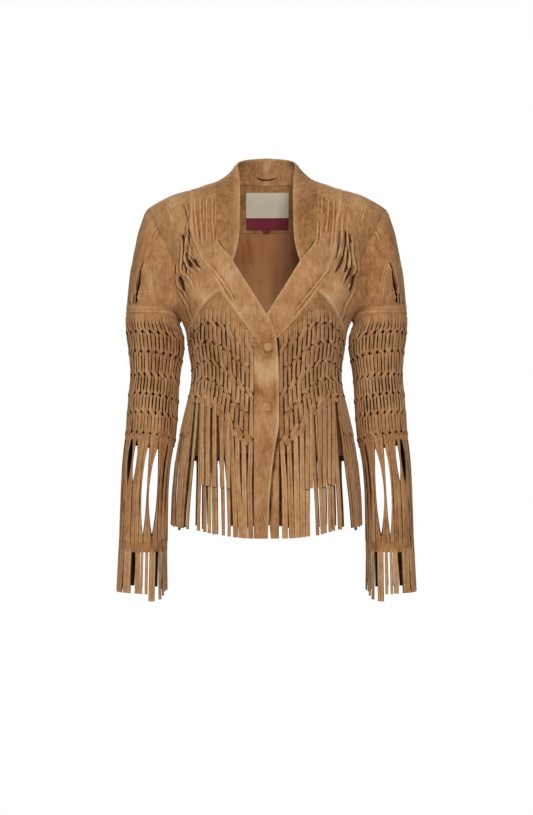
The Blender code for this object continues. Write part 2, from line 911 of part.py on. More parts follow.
def make_back_facing(collection):
    columns, rows = 6, 3

    def point(column, row):
        x = (2 * column / columns - 1) * FACING_HALF
        return inside_neck(x, mix(NECK.at("z", abs(x)) - 4, FACING_LOW, row / rows))

    sheet("back_facing", collection, point, columns, rows, Vector((0, 0, -30)), FACING_WALL,
          suede("back_facing", "collar"))


def make_label(collection):
    left, right, top, bottom = -34.5, 37.5, 3.0, -58.0

    def point(column, row):
        return inside_neck(mix(left, right, column / 4), mix(top, bottom, row / 3), 1.9)

    cream = finish_material("neck_label", (0.52, 0.47, 0.37), 0.9)
    sheet("neck_label", collection, point, 4, 3, Vector((0, 0, -30)), LABEL, cream)


def make_size_tab(collection):
    left, right, top, bottom = -6.5, 6.5, -59.0, -66.0

    def point(column, row):
        return inside_neck(mix(left, right, column), mix(top, bottom, row), 2.2)

    red = finish_material("size_tab", (0.18, 0.02, 0.03), 0.85)
    sheet("size_tab", collection, point, 1, 1, Vector((0, 0, -60)), LABEL, red)


def make_hanger_loop(collection):
    half, height, width, arch = 0.36, 0.3, 0.35, 2.0
    inwards = -COLLAR_SUEDE - 4 * SEAM

    def point(column, row):
        """On the flat facets of the collar beside its centre back."""
        share = 2 * column / 4 - 1
        beside = COLLAR_STATIONS + math.copysign(1, share)
        level = height + width * row
        low, high = (collar_point(COLLAR_STATIONS, step, inwards).lerp(
            collar_point(beside, step, inwards), half * abs(share)) for step in (1, 2))
        return low.lerp(high, level) + Vector((0, -arch * (1 - share ** 2), 0))

    sheet("hanger_loop", collection, point, 4, 1, Vector((0, -100, 30)), 1.2,
          suede("hanger_loop", "collar"))


LINING_ROWS = (FACING_LOW - 0.6, -112, -160, -215, -250, -290, -330, -370, -405, LINING_HEM)
LINING_INSET = 6.0
LINING_EDGE_NEAR = 62.0
LINING_EDGE_STEP = 24.0
LINING_EDGE_LOW = -180.0
LINING_EDGE_SPAN = 80.0


def make_lining_back(collection):
    columns = 8

    def point(column, row):
        share = 2 * column / columns - 1
        z = LINING_ROWS[int(row)]
        outer = back_angle(1, z, LINING_INSET) if z > ARMPIT else math.pi / 2 + SIDE_TURN
        return body(math.copysign(1, share), mix(math.pi, outer, abs(share)), z, -LINING_DEPTH)

    brown = finish_material("lining_back", (0.16, 0.075, 0.035), 0.5)
    sheet("lining_back", collection, point, columns, len(LINING_ROWS) - 1,
          Vector((0, 0, -250)), LINING, brown)


def make_lining_front(collection, name, side):
    columns = 4
    rows = LINING_ROWS[1:]

    def point(column, row):
        z = rows[int(row)]
        step = LINING_EDGE_STEP * ease((z - LINING_EDGE_LOW) / LINING_EDGE_SPAN)
        start = angle_at(LINING_EDGE_NEAR + step, z)
        outer = math.pi / 2 - SIDE_TURN
        if z > ARMPIT:
            outer = angle_at(ARMHOLE.at("front", z) - LINING_INSET, z)
        return body(side, mix(start, outer, column / columns), z, -LINING_DEPTH)

    brown = finish_material("lining_front_" + name, (0.16, 0.075, 0.035), 0.5)
    sheet("lining_front_" + name, collection, point, columns, len(rows) - 1,
          Vector((side * 40, 0, -250)), LINING, brown)


# Covered snap buttons on the lapped front

BUTTON_RADIUS = 7.5
BUTTON_HEIGHT = 2.6
BUTTONS = Table("z u", (-263, -2.4), (-359, -0.8))


def make_button(collection, name, z, u):
    place = on_front(TO_RIGHT, u, z, 0.35 + BUTTON_HEIGHT / 2)
    outward = (on_front(TO_RIGHT, u, z, 5) - on_front(TO_RIGHT, u, z)).normalized()
    mesh = bpy.data.meshes.new(name)
    shape = bmesh.new()
    bmesh.ops.create_cone(shape, cap_ends=True, segments=20, depth=BUTTON_HEIGHT * MILLIMETRE,
                          radius1=BUTTON_RADIUS * MILLIMETRE, radius2=BUTTON_RADIUS * MILLIMETRE)
    shape.to_mesh(mesh)
    shape.free()
    mesh.materials.append(suede(name, "front"))
    item = bpy.data.objects.new(name, mesh)
    item.location = place * MILLIMETRE
    item.rotation_mode = "QUATERNION"
    item.rotation_quaternion = outward.to_track_quat("Z", "Y")
    collection.objects.link(item)
    rounding = item.modifiers.new("edge", "BEVEL")
    rounding.width = 0.9 * MILLIMETRE
    rounding.segments = 1
    rounding.limit_method = "ANGLE"


def main():
    clear_scene()
    jacket = new_collection("suede_jacket")
    make_collar(jacket)
    for name, side in SIDES.items():
        make_lapel(jacket, name, side)
        make_front_yoke(jacket, name, side)
        make_front(jacket, name, side)
        make_hem_fringe(jacket, name, side)
        make_upper_fringe(jacket, name, side)
        make_back(jacket, name, side)
        make_lining_front(jacket, name, side)
        make_cuff_fringe(jacket, name, side)
        for face in ("front", "back"):
            make_sleeve_cap(jacket, name, side, face)
            make_sleeve_net(jacket, name, side, face)
    make_back_yoke(jacket)
    make_back_fringe(jacket)
    make_back_facing(jacket)
    make_lining_back(jacket)
    make_label(jacket)
    make_size_tab(jacket)
    make_hanger_loop(jacket)
    lower, upper = BUTTONS.columns.T
    make_button(jacket, "button_upper", *upper)
    make_button(jacket, "button_lower", *lower)


main()
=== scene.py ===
"""Looks of a woman's short suede jacket with slashed, plaited and fringed panels.

Lengths are millimetres until a mesh is made. X runs to the wearer's left, Y to the back
and Z up; the origin is at the base of the neck.
"""
import math

import bpy
import numpy as np
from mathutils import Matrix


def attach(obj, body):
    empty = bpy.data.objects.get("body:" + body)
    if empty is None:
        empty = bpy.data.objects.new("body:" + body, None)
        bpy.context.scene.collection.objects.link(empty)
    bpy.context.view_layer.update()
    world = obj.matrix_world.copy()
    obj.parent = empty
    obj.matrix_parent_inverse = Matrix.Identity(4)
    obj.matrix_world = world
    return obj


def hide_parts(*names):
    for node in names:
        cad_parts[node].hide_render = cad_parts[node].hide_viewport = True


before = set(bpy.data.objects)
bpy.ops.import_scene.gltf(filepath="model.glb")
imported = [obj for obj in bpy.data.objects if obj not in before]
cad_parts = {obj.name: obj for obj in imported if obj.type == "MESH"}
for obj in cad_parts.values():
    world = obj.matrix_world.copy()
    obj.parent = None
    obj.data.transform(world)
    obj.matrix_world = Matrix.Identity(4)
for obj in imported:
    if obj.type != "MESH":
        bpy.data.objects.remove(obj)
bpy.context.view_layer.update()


# Back panels. Two plain suede panels from the yoke seam to the back hem, sewn together down
# the centre back with one row of topstitching on each side of the seam. Everything that
# lies on the body starts from the same form, so that form and the cloth tools are here.

class Table:
    """Rows of sizes under named columns, read smoothly along the first column."""

    def __init__(self, names, *rows):
        names = names.split()
        self.key = names[0]
        self.columns = dict(zip(names, np.array(sorted(rows), float).T))

    def at(self, name, where):
        xs, ys = self.columns[self.key], self.columns[name]
        rises = np.diff(ys) / np.diff(xs)
        before, after = rises[:-1], rises[1:]
        total = np.where(before * after > 0, before + after, 1.0)
        inner = np.where(before * after > 0, 2 * before * after / total, 0.0)
        slopes = np.concatenate([rises[:1], inner, rises[-1:]])
        where = np.clip(where, xs[0], xs[-1])
        i = np.clip(np.searchsorted(xs, where, side="right") - 1, 0, len(xs) - 2)
        step = xs[i + 1] - xs[i]
        t = (where - xs[i]) / step
        return ((1 + 2 * t) * (1 - t) ** 2 * ys[i] + t * (1 - t) ** 2 * slopes[i] * step
                + t * t * (3 - 2 * t) * ys[i + 1] + t * t * (t - 1) * slopes[i + 1] * step)

    def straight(self, name, where):
        """The same, with straight lines from row to row."""
        return np.interp(where, self.columns[self.key], self.columns[name])


BODY = Table(
    "z width front back",
    (62, 216, 48, 66),
    (0, 212, 62, 72),
    (-31, 208, 74, 79),
    (-64, 194, 87, 85),
    (-96, 178, 97, 89),
    (-119, 168, 104, 92),
    (-151, 164, 110, 95),
    (-181, 157, 116, 96),
    (-201, 149, 119, 96),
    (-215, 141, 120, 95),
    (-230, 134.5, 118, 92),
    (-244, 131, 116, 90),
    (-264, 128, 112, 87),
    (-304, 123.5, 106, 84),
    (-333, 126, 107, 87),
    (-353, 131, 109, 91),
    (-393, 140.5, 113, 99),
    (-430, 148, 117, 106),
    (-470, 153, 120, 111),
    (-510, 156, 123, 114),
    (-570, 158, 126, 117),
)
SHOULDER = Table(
    "x z",
    (0, 62), (46, 50), (60, 36), (70, 25), (82, 14.5), (100, 8.5), (115, 3),
    (143, -4.5), (153, -7.5), (171, -16), (184, -23), (196, -31), (206, -40),
)
ARMHOLE = Table(
    "z front back",
    (-31, 196, 196),
    (-37, 191, 192),
    (-64, 179, 181),
    (-96, 163, 166),
    (-119, 154.5, 158),
    (-157, 151, 153),
    (-181, 146, 148),
    (-201, 142.8, 143.4),
    (-215, 141, 141),
)
TO_LEFT = 1
TO_RIGHT = -1
SIDES = {"right": TO_RIGHT, "left": TO_LEFT}
SQUARE = 0.91
SHOULDER_Y = 5.0
SHOULDER_ROLL = 48.0
SHOULDER_CLEAR = 0.008
SHOULDER_END = 196.0
ARMHOLE_TOP = -31.0
ARMPIT = -215.0
SUEDE = 1.4


def mix(a, b, t):
    return a + (b - a) * t


def ease(t):
    t = np.clip(t, 0.0, 1.0)
    return t * t * (3 - 2 * t)


def hump(where):
    """1 at 0, and smoothly down to nothing about 2 away from it."""
    return np.exp(-where ** 2)


def unit(vectors):
    return vectors / np.maximum(np.linalg.norm(vectors, axis=-1, keepdims=True), 1e-9)


def joined(*parts):
    """Points from their x, y and z, whatever mix of numbers and arrays those are."""
    return np.stack(np.broadcast_arrays(*parts), -1).astype(float)


def signed_power(value, power):
    return np.copysign(np.abs(value) ** power, value)


def angle_at(u, z, back=False):
    share = np.minimum(np.abs(u) / BODY.at("width", z), 1.0)
    angle = np.copysign(np.arcsin(share ** (1 / SQUARE)), u)
    return np.pi - angle if back else angle


def body_face(side, angle, z):
    sine, cosine = np.sin(angle), np.cos(angle)
    u = BODY.at("width", z) * signed_power(sine, SQUARE)
    depth = np.where(cosine > 0, BODY.at("front", z), BODY.at("back", z))
    y = -depth * signed_power(cosine, SQUARE)
    turn = np.clip((SHOULDER.at("z", np.abs(u)) - z) / SHOULDER_ROLL, 0.0, 1.0)
    rise = np.maximum(np.sqrt(1 - (1 - turn) ** 2), SHOULDER_CLEAR)
    return joined(side * u, SHOULDER_Y + (y - SHOULDER_Y) * rise, z)


def body_normal(side, angle, z):
    along = body_face(side, angle + 0.02, z) - body_face(side, angle - 0.02, z)
    down = body_face(side, angle, z - 1.5) - body_face(side, angle, z - 0.1)
    normal = unit(np.cross(along, down))
    here = body_face(side, angle, z)
    towards = (normal * (here - joined(0.0, 0.0, z - 30))).sum(-1, keepdims=True)
    return np.where(towards < 0, -normal, normal)


def body(side, angle, z, out=0.0):
    """Points on the body form, moved out along its normal."""
    angle, z, out = np.broadcast_arrays(angle, z, out)
    return body_face(side, angle, z) + body_normal(side, angle, z) * out[..., None]


class Cloth:
    """Closed shells of cloth, gathered in millimetres and made into one piece."""

    BOX = np.array([(0, 1, 3, 2), (4, 6, 7, 5), (0, 4, 5, 1), (2, 3, 7, 6), (0, 2, 6, 4),
                    (1, 5, 7, 3)])
    STITCH_PITCH = 3.3
    STITCH_LENGTH = 2.4
    STITCH_WIDE = 0.55
    STITCH_SUNK = -0.2
    STITCH_TALL = 0.45

    def __init__(self):
        self.points = []
        self.faces = []
        # Marks per point: tone, lowered by painted shade in places, painted highlight, and thread
        self.marks = {"tone": [], "edge": [], "thread": []}
        self.total = 0

    def add(self, points, faces, **marks):
        points = points.reshape(-1, 3)
        self.points.append(points)
        self.faces.append(faces + self.total)
        for name, kept in self.marks.items():
            value = np.asarray(marks.get(name, 0.0), float)
            kept.append(np.broadcast_to(value.ravel() if value.ndim else value,
                                        (len(points),)))
        self.total += len(points)

    def shell(self, grid, inside, thickness=SUEDE, keep=None, tone=0.5, edge=0.0, underside_shade=-1.0):
        """Closed shell under a grid of outer points, faces out from the point `inside`."""
        rows, columns = grid.shape[:2]
        normal = unit(np.cross(np.gradient(grid, axis=1), np.gradient(grid, axis=0)))
        index = np.arange(rows * columns).reshape(rows, columns)
        quads = np.stack([index[:-1, :-1], index[:-1, 1:], index[1:, 1:], index[1:, :-1]], -1)
        quads = quads.reshape(-1, 4) if keep is None else quads[keep]
        if (normal * (grid - np.array(inside, float))).sum() < 0:
            normal = -normal
            quads = quads[:, ::-1]
        under = grid - normal * thickness
        count = rows * columns
        ends = np.roll(quads, -1, axis=1)
        rim = ~np.isin(quads * count + ends, ends * count + quads)
        start, end = quads[rim], ends[rim]
        sides = np.stack([end, start, start + count, end + count], -1)
        faces = np.concatenate([quads, quads[:, ::-1] + count, sides])
        used, numbers = np.unique(faces, return_inverse=True)
        points = np.concatenate([grid.reshape(-1, 3), under.reshape(-1, 3)])[used]
        tone, edge = (np.broadcast_to(value, grid.shape[:2]).ravel() for value in (tone, edge))
        # The underside gets painted shade, and keeps the painted highlight only where it gets none
        tone = np.concatenate([tone, tone + underside_shade])[used]
        edge = np.concatenate([edge, edge * (underside_shade == 0)])[used]
        self.add(points, numbers.reshape(faces.shape), tone=tone, edge=edge)

    def ribbon(self, path, across, outward, width, thickness=SUEDE, crown=0.5, tone=0.5,
               underside_shade=-1.1):
        """Slightly domed strip along a path of points, with painted shade on its edges and
        underside and painted highlight beside the edges.
        """
        shares = np.array([-1, -0.75, 0, 0.75, 1])
        half = np.broadcast_to(width, len(path))[:, None, None] / 2
        top = (path[:, None] + across[:, None] * shares[:, None] * half
               + outward[:, None] * (crown * (1 - shares ** 2))[:, None])
        under = top - outward[:, None] * thickness
        ring = np.concatenate([top, under[:, ::-1]], axis=1)
        steps, around = ring.shape[:2]
        index = np.arange(steps * around).reshape(steps, around)
        after = np.roll(index, -1, axis=1)
        quads = np.stack([index[:-1], after[:-1], after[1:], index[1:]], -1).reshape(-1, 4)
        cap = np.array([(0, 1, 8, 9), (1, 2, 7, 8), (2, 3, 6, 7), (3, 4, 5, 6)])
        faces = np.concatenate([quads, cap[:, ::-1], cap + index[-1, 0]])
        turn = np.cross(across[:-1], np.diff(path, axis=0)) * outward[:-1]
        if turn.sum() < 0:
            faces = faces[:, ::-1]
        # Painted highlight beside the edges; painted shade on the edges and on the whole underside
        edge = [0, 0.7, 0, 0.7, 0, 0, 0, 0, 0, 0]
        edge_and_underside_shade = np.array([-0.75, 0.05, 0, 0.05, -0.75] + [underside_shade] * 5)
        self.add(ring, faces, tone=np.broadcast_to(tone, steps)[:, None] + edge_and_underside_shade,
                 edge=np.tile(edge, steps))

    def stitches(self, path, outward):
        """A row of straight stitches along a path of points on the cloth."""
        steps = np.linalg.norm(np.diff(path, axis=0), axis=1)
        travelled = np.concatenate([[0], np.cumsum(steps)])
        starts = np.arange(0.3, travelled[-1] - Cloth.STITCH_LENGTH, Cloth.STITCH_PITCH)

        def at(table, where):
            return np.stack([np.interp(where, travelled, table[:, i]) for i in range(3)], -1)

        first, last = at(path, starts), at(path, starts + Cloth.STITCH_LENGTH)
        up = unit(at(outward, starts))
        beside = unit(np.cross(up, last - first)) * Cloth.STITCH_WIDE / 2
        corners = np.stack([end + beside * way + up * height for end in (first, last)
                            for way in (-1, 1)
                            for height in (Cloth.STITCH_SUNK, Cloth.STITCH_TALL)], 1)
        faces = (Cloth.BOX[None] + 8 * np.arange(len(starts))[:, None, None]).reshape(-1, 4)
        self.add(corners, faces[:, ::-1], thread=1.0, tone=0.5)

    def sewn(self, side, angles, z, out):
        """A row of stitches along a line on the body form."""
        self.stitches(body(side, angles, z, out), body_normal(side, angles, z))

    def piece(self, name, material, node):
        mesh = bpy.data.meshes.new(name)
        points = np.concatenate(self.points) * 0.001
        faces = np.concatenate(self.faces)
        mesh.from_pydata(points.tolist(), [], faces.tolist())
        for mark, values in self.marks.items():
            layer = mesh.attributes.new(mark, "FLOAT", "POINT")
            layer.data.foreach_set("value", np.concatenate(values).astype(np.float32))
        mesh.shade_smooth()
        mesh.set_sharp_from_angle(angle=math.radians(48))
        mesh.materials.append(material)
        item = bpy.data.objects.new(name, mesh)
        bpy.context.scene.collection.objects.link(item)
        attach(item, "root")
        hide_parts(node)
        return item


class Shade:
    """A number or colour inside one material; sums with it add the nodes they need."""

    def __init__(self, tree, socket=None):
        self.tree = tree
        self.socket = socket

    def node(self, kind, settings=None, output=0, **sockets):
        """Any other node: its settings come first, then its sockets' values or links."""
        made = self.tree.nodes.new(kind)
        for name, value in (settings or {}).items():
            if name == "stops":
                ramp = made.color_ramp.elements
                while len(ramp) < len(value):
                    ramp.new(0.5)
                for stop, (place, colour) in zip(ramp, value):
                    stop.position = place
                    stop.color = (*colour, 1.0)
            else:
                setattr(made, name, value)
        for name, value in sockets.items():
            key = int(name[1:]) if name[1:].isdigit() else name.replace("_", " ")
            if isinstance(value, Shade):
                self.tree.links.new(value.socket, made.inputs[key])
            else:
                made.inputs[key].default_value = value
        return Shade(self.tree, made.outputs[output])

    def sum(self, operation, first, second):
        return self.node("ShaderNodeMath", {"operation": operation}, i0=first, i1=second)

    def __add__(self, other):
        return self.sum("ADD", self, other)

    def __radd__(self, other):
        return self.sum("ADD", other, self)

    def __sub__(self, other):
        return self.sum("SUBTRACT", self, other)

    def __rsub__(self, other):
        return self.sum("SUBTRACT", other, self)

    def __mul__(self, other):
        return self.sum("MULTIPLY", self, other)

    def __rmul__(self, other):
        return self.sum("MULTIPLY", other, self)

    def blend(self, first, second):
        """Colour `first` where this number is 0, `second` where it is 1."""
        return self.node("ShaderNodeMix", {"data_type": "RGBA"}, output=2,
                         i0=self, i6=first, i7=second)


def new_material(name):
    """A material, and the place on its piece in metres as a first shade."""
    material = bpy.data.materials.new(name)
    material.use_nodes = True
    return material, Shade(material.node_tree).node("ShaderNodeTexCoord", output="Object")


def dress(material, colour, roughness, height, strength, distance, **constants):
    """Gives a material its colour, roughness and bump, and constants on other sockets."""
    surface = material.node_tree.nodes["Principled BSDF"].inputs
    bump = height.node("ShaderNodeBump", Height=height, Strength=strength, Distance=distance)
    for name, shade in (("Base Color", colour), ("Roughness", roughness), ("Normal", bump)):
        material.node_tree.links.new(shade.socket, surface[name])
    for name, value in constants.items():
        surface[name.replace("_", " ")].default_value = value


# Suede colours, as the light reflected in red, green and blue. The darkest is reached
# mostly where painted shade lowers the tone, the lightest on brushed nap and painted highlight
SUEDE_DEEP_SHADE = (0.048, 0.018, 0.007)
SUEDE_DARK = (0.235, 0.096, 0.034)
SUEDE_MID = (0.432, 0.209, 0.085)
SUEDE_LIGHT = (0.572, 0.318, 0.148)
SUEDE_WORN_AND_HIGHLIGHT = (0.67, 0.438, 0.240)
THREAD = (0.56, 0.35, 0.19)


def suede(name, shade=0.0, brushed=1.0):
    """Napped suede: brushed patches, mottling, fine nap and thread, with painted shade and painted
    highlight from the marks.
    """
    material, place = new_material(name)

    def noise(scale, detail, roughness, stretch=(1, 1, 1), distortion=0.0):
        where = place.node("ShaderNodeMapping", Vector=place, Scale=stretch)
        return place.node("ShaderNodeTexNoise", Vector=where, Scale=scale, Detail=detail,
                          Roughness=roughness, Distortion=distortion)

    clouds = noise(13.0, 3.0, 0.6, (1, 1, 0.75), 0.6)
    mottle = noise(110.0, 4.0, 0.65)
    brushing = noise(60.0, 6.0, 0.65, (3.4, 3.4, 0.8), 0.4)
    fibre = noise(800.0, 2.0, 0.7)
    tone, edge, thread = (
        place.node("ShaderNodeAttribute", {"attribute_name": mark}, output="Fac")
        for mark in ("tone", "edge", "thread"))
    # The tone mark holds random tone and painted shade; the highlight mark is painted highlight
    level = (0.46 + shade + brushed * 0.60 * (clouds - 0.5) + 0.50 * (mottle - 0.5)
             + 0.75 * (brushing - 0.5) + 0.50 * (fibre - 0.5) + 0.55 * (tone - 0.5)
             + 0.30 * edge)
    colour = place.node("ShaderNodeValToRGB", {"stops": [
        (0.0, SUEDE_DEEP_SHADE), (0.18, SUEDE_DARK), (0.46, SUEDE_MID), (0.72, SUEDE_LIGHT),
        (0.98, SUEDE_WORN_AND_HIGHLIGHT)]},
        i0=level)
    colour = thread.blend(colour, (*THREAD, 1.0))
    grain = noise(420.0, 3.0, 0.6)
    height = grain * 0.6 + fibre * 0.5 + 0.8 * mottle
    dress(material, colour, 0.97 - 0.10 * clouds, height, 0.35, 0.0012, Specular_IOR_Level=0.12,
          Sheen_Weight=0.20, Sheen_Roughness=0.55, Sheen_Tint=(1.0, 0.74, 0.48, 1.0))
    return material


def off_line(x, z, x0, z0, x1, z1):
    """Distance from a straight line, and how far along it the nearest point lies."""
    dx, dz = x1 - x0, z1 - z0
    t = np.clip(((x - x0) * dx + (z - z0) * dz) / (dx * dx + dz * dz), 0, 1)
    return np.hypot(x - x0 - t * dx, z - z0 - t * dz), t


def creases(x, z, rows):
    """Height of soft ridges and troughs, each along a line from (x, z) to (x, z)."""
    total = np.zeros(np.broadcast(x, z).shape)
    for *ends, width, height in rows:
        off, t = off_line(x, z, *ends)
        total += height * hump(off / width) * (1 - (2 * t - 1) ** 4 * 0.8)
    return total


BACK_YOKE_SEAM = -112.0
BACK_HEM = -440.0
CENTRE_CLEAR = 0.0006
BACK_STITCH_OFF = 3.4
BACK_FOLDS = [
    (18, -150, 30, -300, 9, -2.2),
    (40, -170, 52, -330, 7, 1.6),
    (70, -240, 60, -400, 10, -2.0),
    (96, -200, 88, -330, 8, 1.8),
    (118, -250, 112, -360, 7, -1.6),
    (20, -300, 34, -430, 9, 1.8),
    (60, -290, 120, -312, 6, -1.8),
    (64, -318, 118, -330, 6, 1.4),
]
back_suede = suede("back_suede", 0.0)
for name, side in SIDES.items():
    back = Cloth()
    z = np.linspace(BACK_YOKE_SEAM, BACK_HEM, 82)[:, None]
    outer = np.where(z > ARMPIT, angle_at(ARMHOLE.at("back", z), z, True), np.pi / 2)
    angle = mix(np.pi - CENTRE_CLEAR, outer, np.linspace(0, 1, 44)[None])
    off_centre = np.abs(body_face(side, angle, z)[..., 0])
    ditch = -0.9 * hump(off_centre / 1.8) + 0.5 * hump((off_centre - 4) / 2.5)
    relief = creases(off_centre, z, BACK_FOLDS) + ditch
    back.shell(body(side, angle, z, relief), (side * 40, 0, -280))
    line = np.linspace(BACK_YOKE_SEAM - 2, BACK_HEM + 2, 90)
    angles = angle_at(np.full(90, BACK_STITCH_OFF), line, True)
    back.sewn(side, angles, line, 0.5)
    piece = back.piece("back_%s_suede" % name, back_suede, "back_" + name)


# Back yoke. One piece of suede across the shoulders, from the neck seam to a seam level
# with the shoulder blades, topstitched along that seam.

NECK = Table("x z", (0, 14), (38, 15), (66, 16), (78, 15.2), (82, 14.5))
NECK_WIDTH = 82.0
YOKE_ACROSS = np.concatenate([np.linspace(0, 82, 22), np.linspace(86, SHOULDER_END, 30)])
yoke_suede = suede("yoke_suede", 0.08)
back_yoke = Cloth()
top_x = np.concatenate([-YOKE_ACROSS[:0:-1], YOKE_ACROSS])[None]
drop = (np.linspace(0, 1, 44)[:, None]) ** 1.7
reach = np.abs(top_x)
top_z = np.where(reach < NECK_WIDTH, NECK.at("z", reach), SHOULDER.at("z", reach))
z = mix(top_z, BACK_YOKE_SEAM, drop)
edge_x = ARMHOLE.at("back", z)
x = np.minimum(mix(reach, edge_x * reach / SHOULDER_END, drop), edge_x)
way = np.where(top_x < 0, -1.0, 1.0)
across_folds = creases(x, z, [(70, -40, 120, -90, 12, 1.6), (110, -30, 150, -80, 9, -1.6),
                              (20, -50, 60, -100, 12, -1.2)])
seam_roll = 0.6 * hump((z - BACK_YOKE_SEAM - 4) / 3) - 0.8 * hump((z - BACK_YOKE_SEAM) / 1.5)
angle = angle_at(x, z, True)
grid = body(1, angle, z, across_folds + seam_roll)
grid[..., 0] *= way
back_yoke.shell(grid, (0, 0, -80))
line_x = np.linspace(-154, 154, 130)
for height in (3.0, 7.0):
    line_z = np.full(130, BACK_YOKE_SEAM + height)
    angles = angle_at(np.abs(line_x), line_z, True)
    path = body(1, angles, line_z, 0.5)
    outward = body_normal(1, angles, line_z)
    path[:, 0] = np.copysign(path[:, 0], line_x)
    outward[:, 0] *= np.sign(line_x)
    back_yoke.stitches(path, outward)
piece = back_yoke.piece("back_yoke_suede", yoke_suede, "back_yoke")


# Fronts. A smooth pointed top under the yoke seam, then narrow strips that are plaited: at
# each row, neighbours cross in pairs, the next row in the other pairs. A plain placket runs
# down to the hem beside them. The wearer's right front laps over the left.

PLACKET = 20.0
STRIPS = 15
KNEE_COLUMN = 9
KNEE = 84.0
YOKE_END = -246.0
PLACKET_COLUMNS = 2
FRONT_HEM = -567.0
LAP = 2.3
LAP_START = 58.0
LAP_BLEND = 18.0
FRONT_SEAM = {
    TO_RIGHT: Table(
        "u z",
        (20, -249), (38, -224.5), (54, -202.5), (75, -174),
        (84, -179.5), (93.5, -187.5), (106, -204), (117, -224), (131, -246),
    ),
    TO_LEFT: Table(
        "u z",
        (20, -249), (44.5, -224.5), (62, -202.5), (84, -174),
        (93.5, -183), (101, -193), (110, -207), (119, -226), (131, -246),
    ),
}
PLAITS = Table(
    "u first last",
    (20, -268, -414),
    (28, -262, -409),
    (39, -254, -400),
    (54, -245, -386),
    (66, -232, -373),
    (75, -227, -361),
    (93.5, -223, -346),
    (106, -226, -341),
    (117, -238, -340),
    (131, -262, -343),
)
FRONT_EDGE = Table(
    "z right left",
    (-240, -15, -16),
    (-262, -17, -16),
    (-290, -19, -16),
    (-344, -20, -16),
    (-378, -20, -16),
    (-432, -12, -12),
    (-475, -7, -6),
    (-516, -4, 2),
    (-568, -2.4, 7),
)
PLAIT_ROWS = 5
SLIT_RISE = 20.0
ROW_PITCH = 35.0
CROSSING = 0.28
OVER_REACH = 0.24
FRONT_STITCH_GAP = 3.0

# The panel's form runs in 15 columns from the side seam to the placket; it is cut into 18
# strips, the widest of them beside the side seam
CUTS = 18
CUT_COLUMN = Table(
    "cut column",
    (0, 0), (3, 3.4), (5, 5.6), (7, 7.25), (9, 8.77), (12, 11.0), (15, 13.1), (18, 15),
)
KNEE_ANGLE = angle_at(KNEE, YOKE_END)
generator = np.random.default_rng(7)


def lap(side, u):
    """How far the left front goes in where the right front laps over it."""
    return -LAP * ease((LAP_START - u) / LAP_BLEND) if side == TO_LEFT else np.zeros_like(u)


def column_angle(column, z):
    outer = mix(np.pi / 2, KNEE_ANGLE, column / KNEE_COLUMN)
    inner = mix(KNEE_ANGLE, angle_at(PLACKET, z), (column - KNEE_COLUMN) / (STRIPS - KNEE_COLUMN))
    return np.where(column <= KNEE_COLUMN, outer, inner)


def column_reach(column):
    """Distance from the centre at which a column runs straight up beside the yoke."""
    return BODY.at("width", YOKE_END) * np.sin(column_angle(column, YOKE_END)) ** SQUARE


def front_angle(column, z):
    return np.where(z > YOKE_END, angle_at(column_reach(column), z), column_angle(column, z))


def height_on(curve, column):
    z = np.full(np.shape(column), -250.0)
    column = np.minimum(column, STRIPS)
    for _ in range(14):
        z = curve(BODY.at("width", z) * np.sin(front_angle(column, z)) ** SQUARE)
    return z


def plait_height(column, row):
    """Height of a plaited row at a column; rows are counted from 0 and may be fractions."""
    first = height_on(lambda u: PLAITS.at("first", u), column)
    last = height_on(lambda u: PLAITS.at("last", u), column)
    return mix(first, last, row / (PLAIT_ROWS - 1))


def on_front(side, column, z, out=0.0):
    """Point of a front at a column and height, on the placket too."""
    inner = FRONT_EDGE.at("right" if side == TO_RIGHT else "left", z)
    share = (column - STRIPS) / PLACKET_COLUMNS
    angle = np.where(column <= STRIPS, front_angle(np.minimum(column, STRIPS), z),
                     angle_at(mix(PLACKET, inner, share), z))
    u = BODY.at("width", z) * signed_power(np.sin(angle), SQUARE)
    return body(side, angle, z, out + lap(side, u))


def patches(x, z, rows):
    """Lighter (or darker) brushed places: middle, size across and down, amount."""
    return sum(amount * np.exp(-((x - x0) / wide) ** 2 - ((z - z0) / high) ** 2)
               for x0, z0, wide, high, amount in rows)


def crossings(count, rows, ring=False):
    """Place of every strip before each row and after the last, as pairs swap in turn."""
    order = list(range(count))
    places = [list(order)]
    for row in range(rows):
        for first in range(row % 2, count if ring else count - 1, 2):
            second = (first + 1) % count
            order[first], order[second] = order[second], order[first]
        places.append([order.index(strip) for strip in range(count)])
    return np.array(places, float).T


def swerve(places, rows, t, count=0):
    """Place of a strip at each t, and how far it is over (or under) its neighbour."""
    place = np.full(len(t), places[0])
    over = np.zeros(len(t))
    for row in range(rows):
        step = places[row + 1] - places[row]
        if count and abs(step) > count / 2:
            step -= math.copysign(count, step)
        place = place + step * ease((t - row + CROSSING / 2) / CROSSING)
        over += step * (-1) ** row * np.clip(1 - np.abs((t - row) / OVER_REACH), 0, 1)
    return place, over


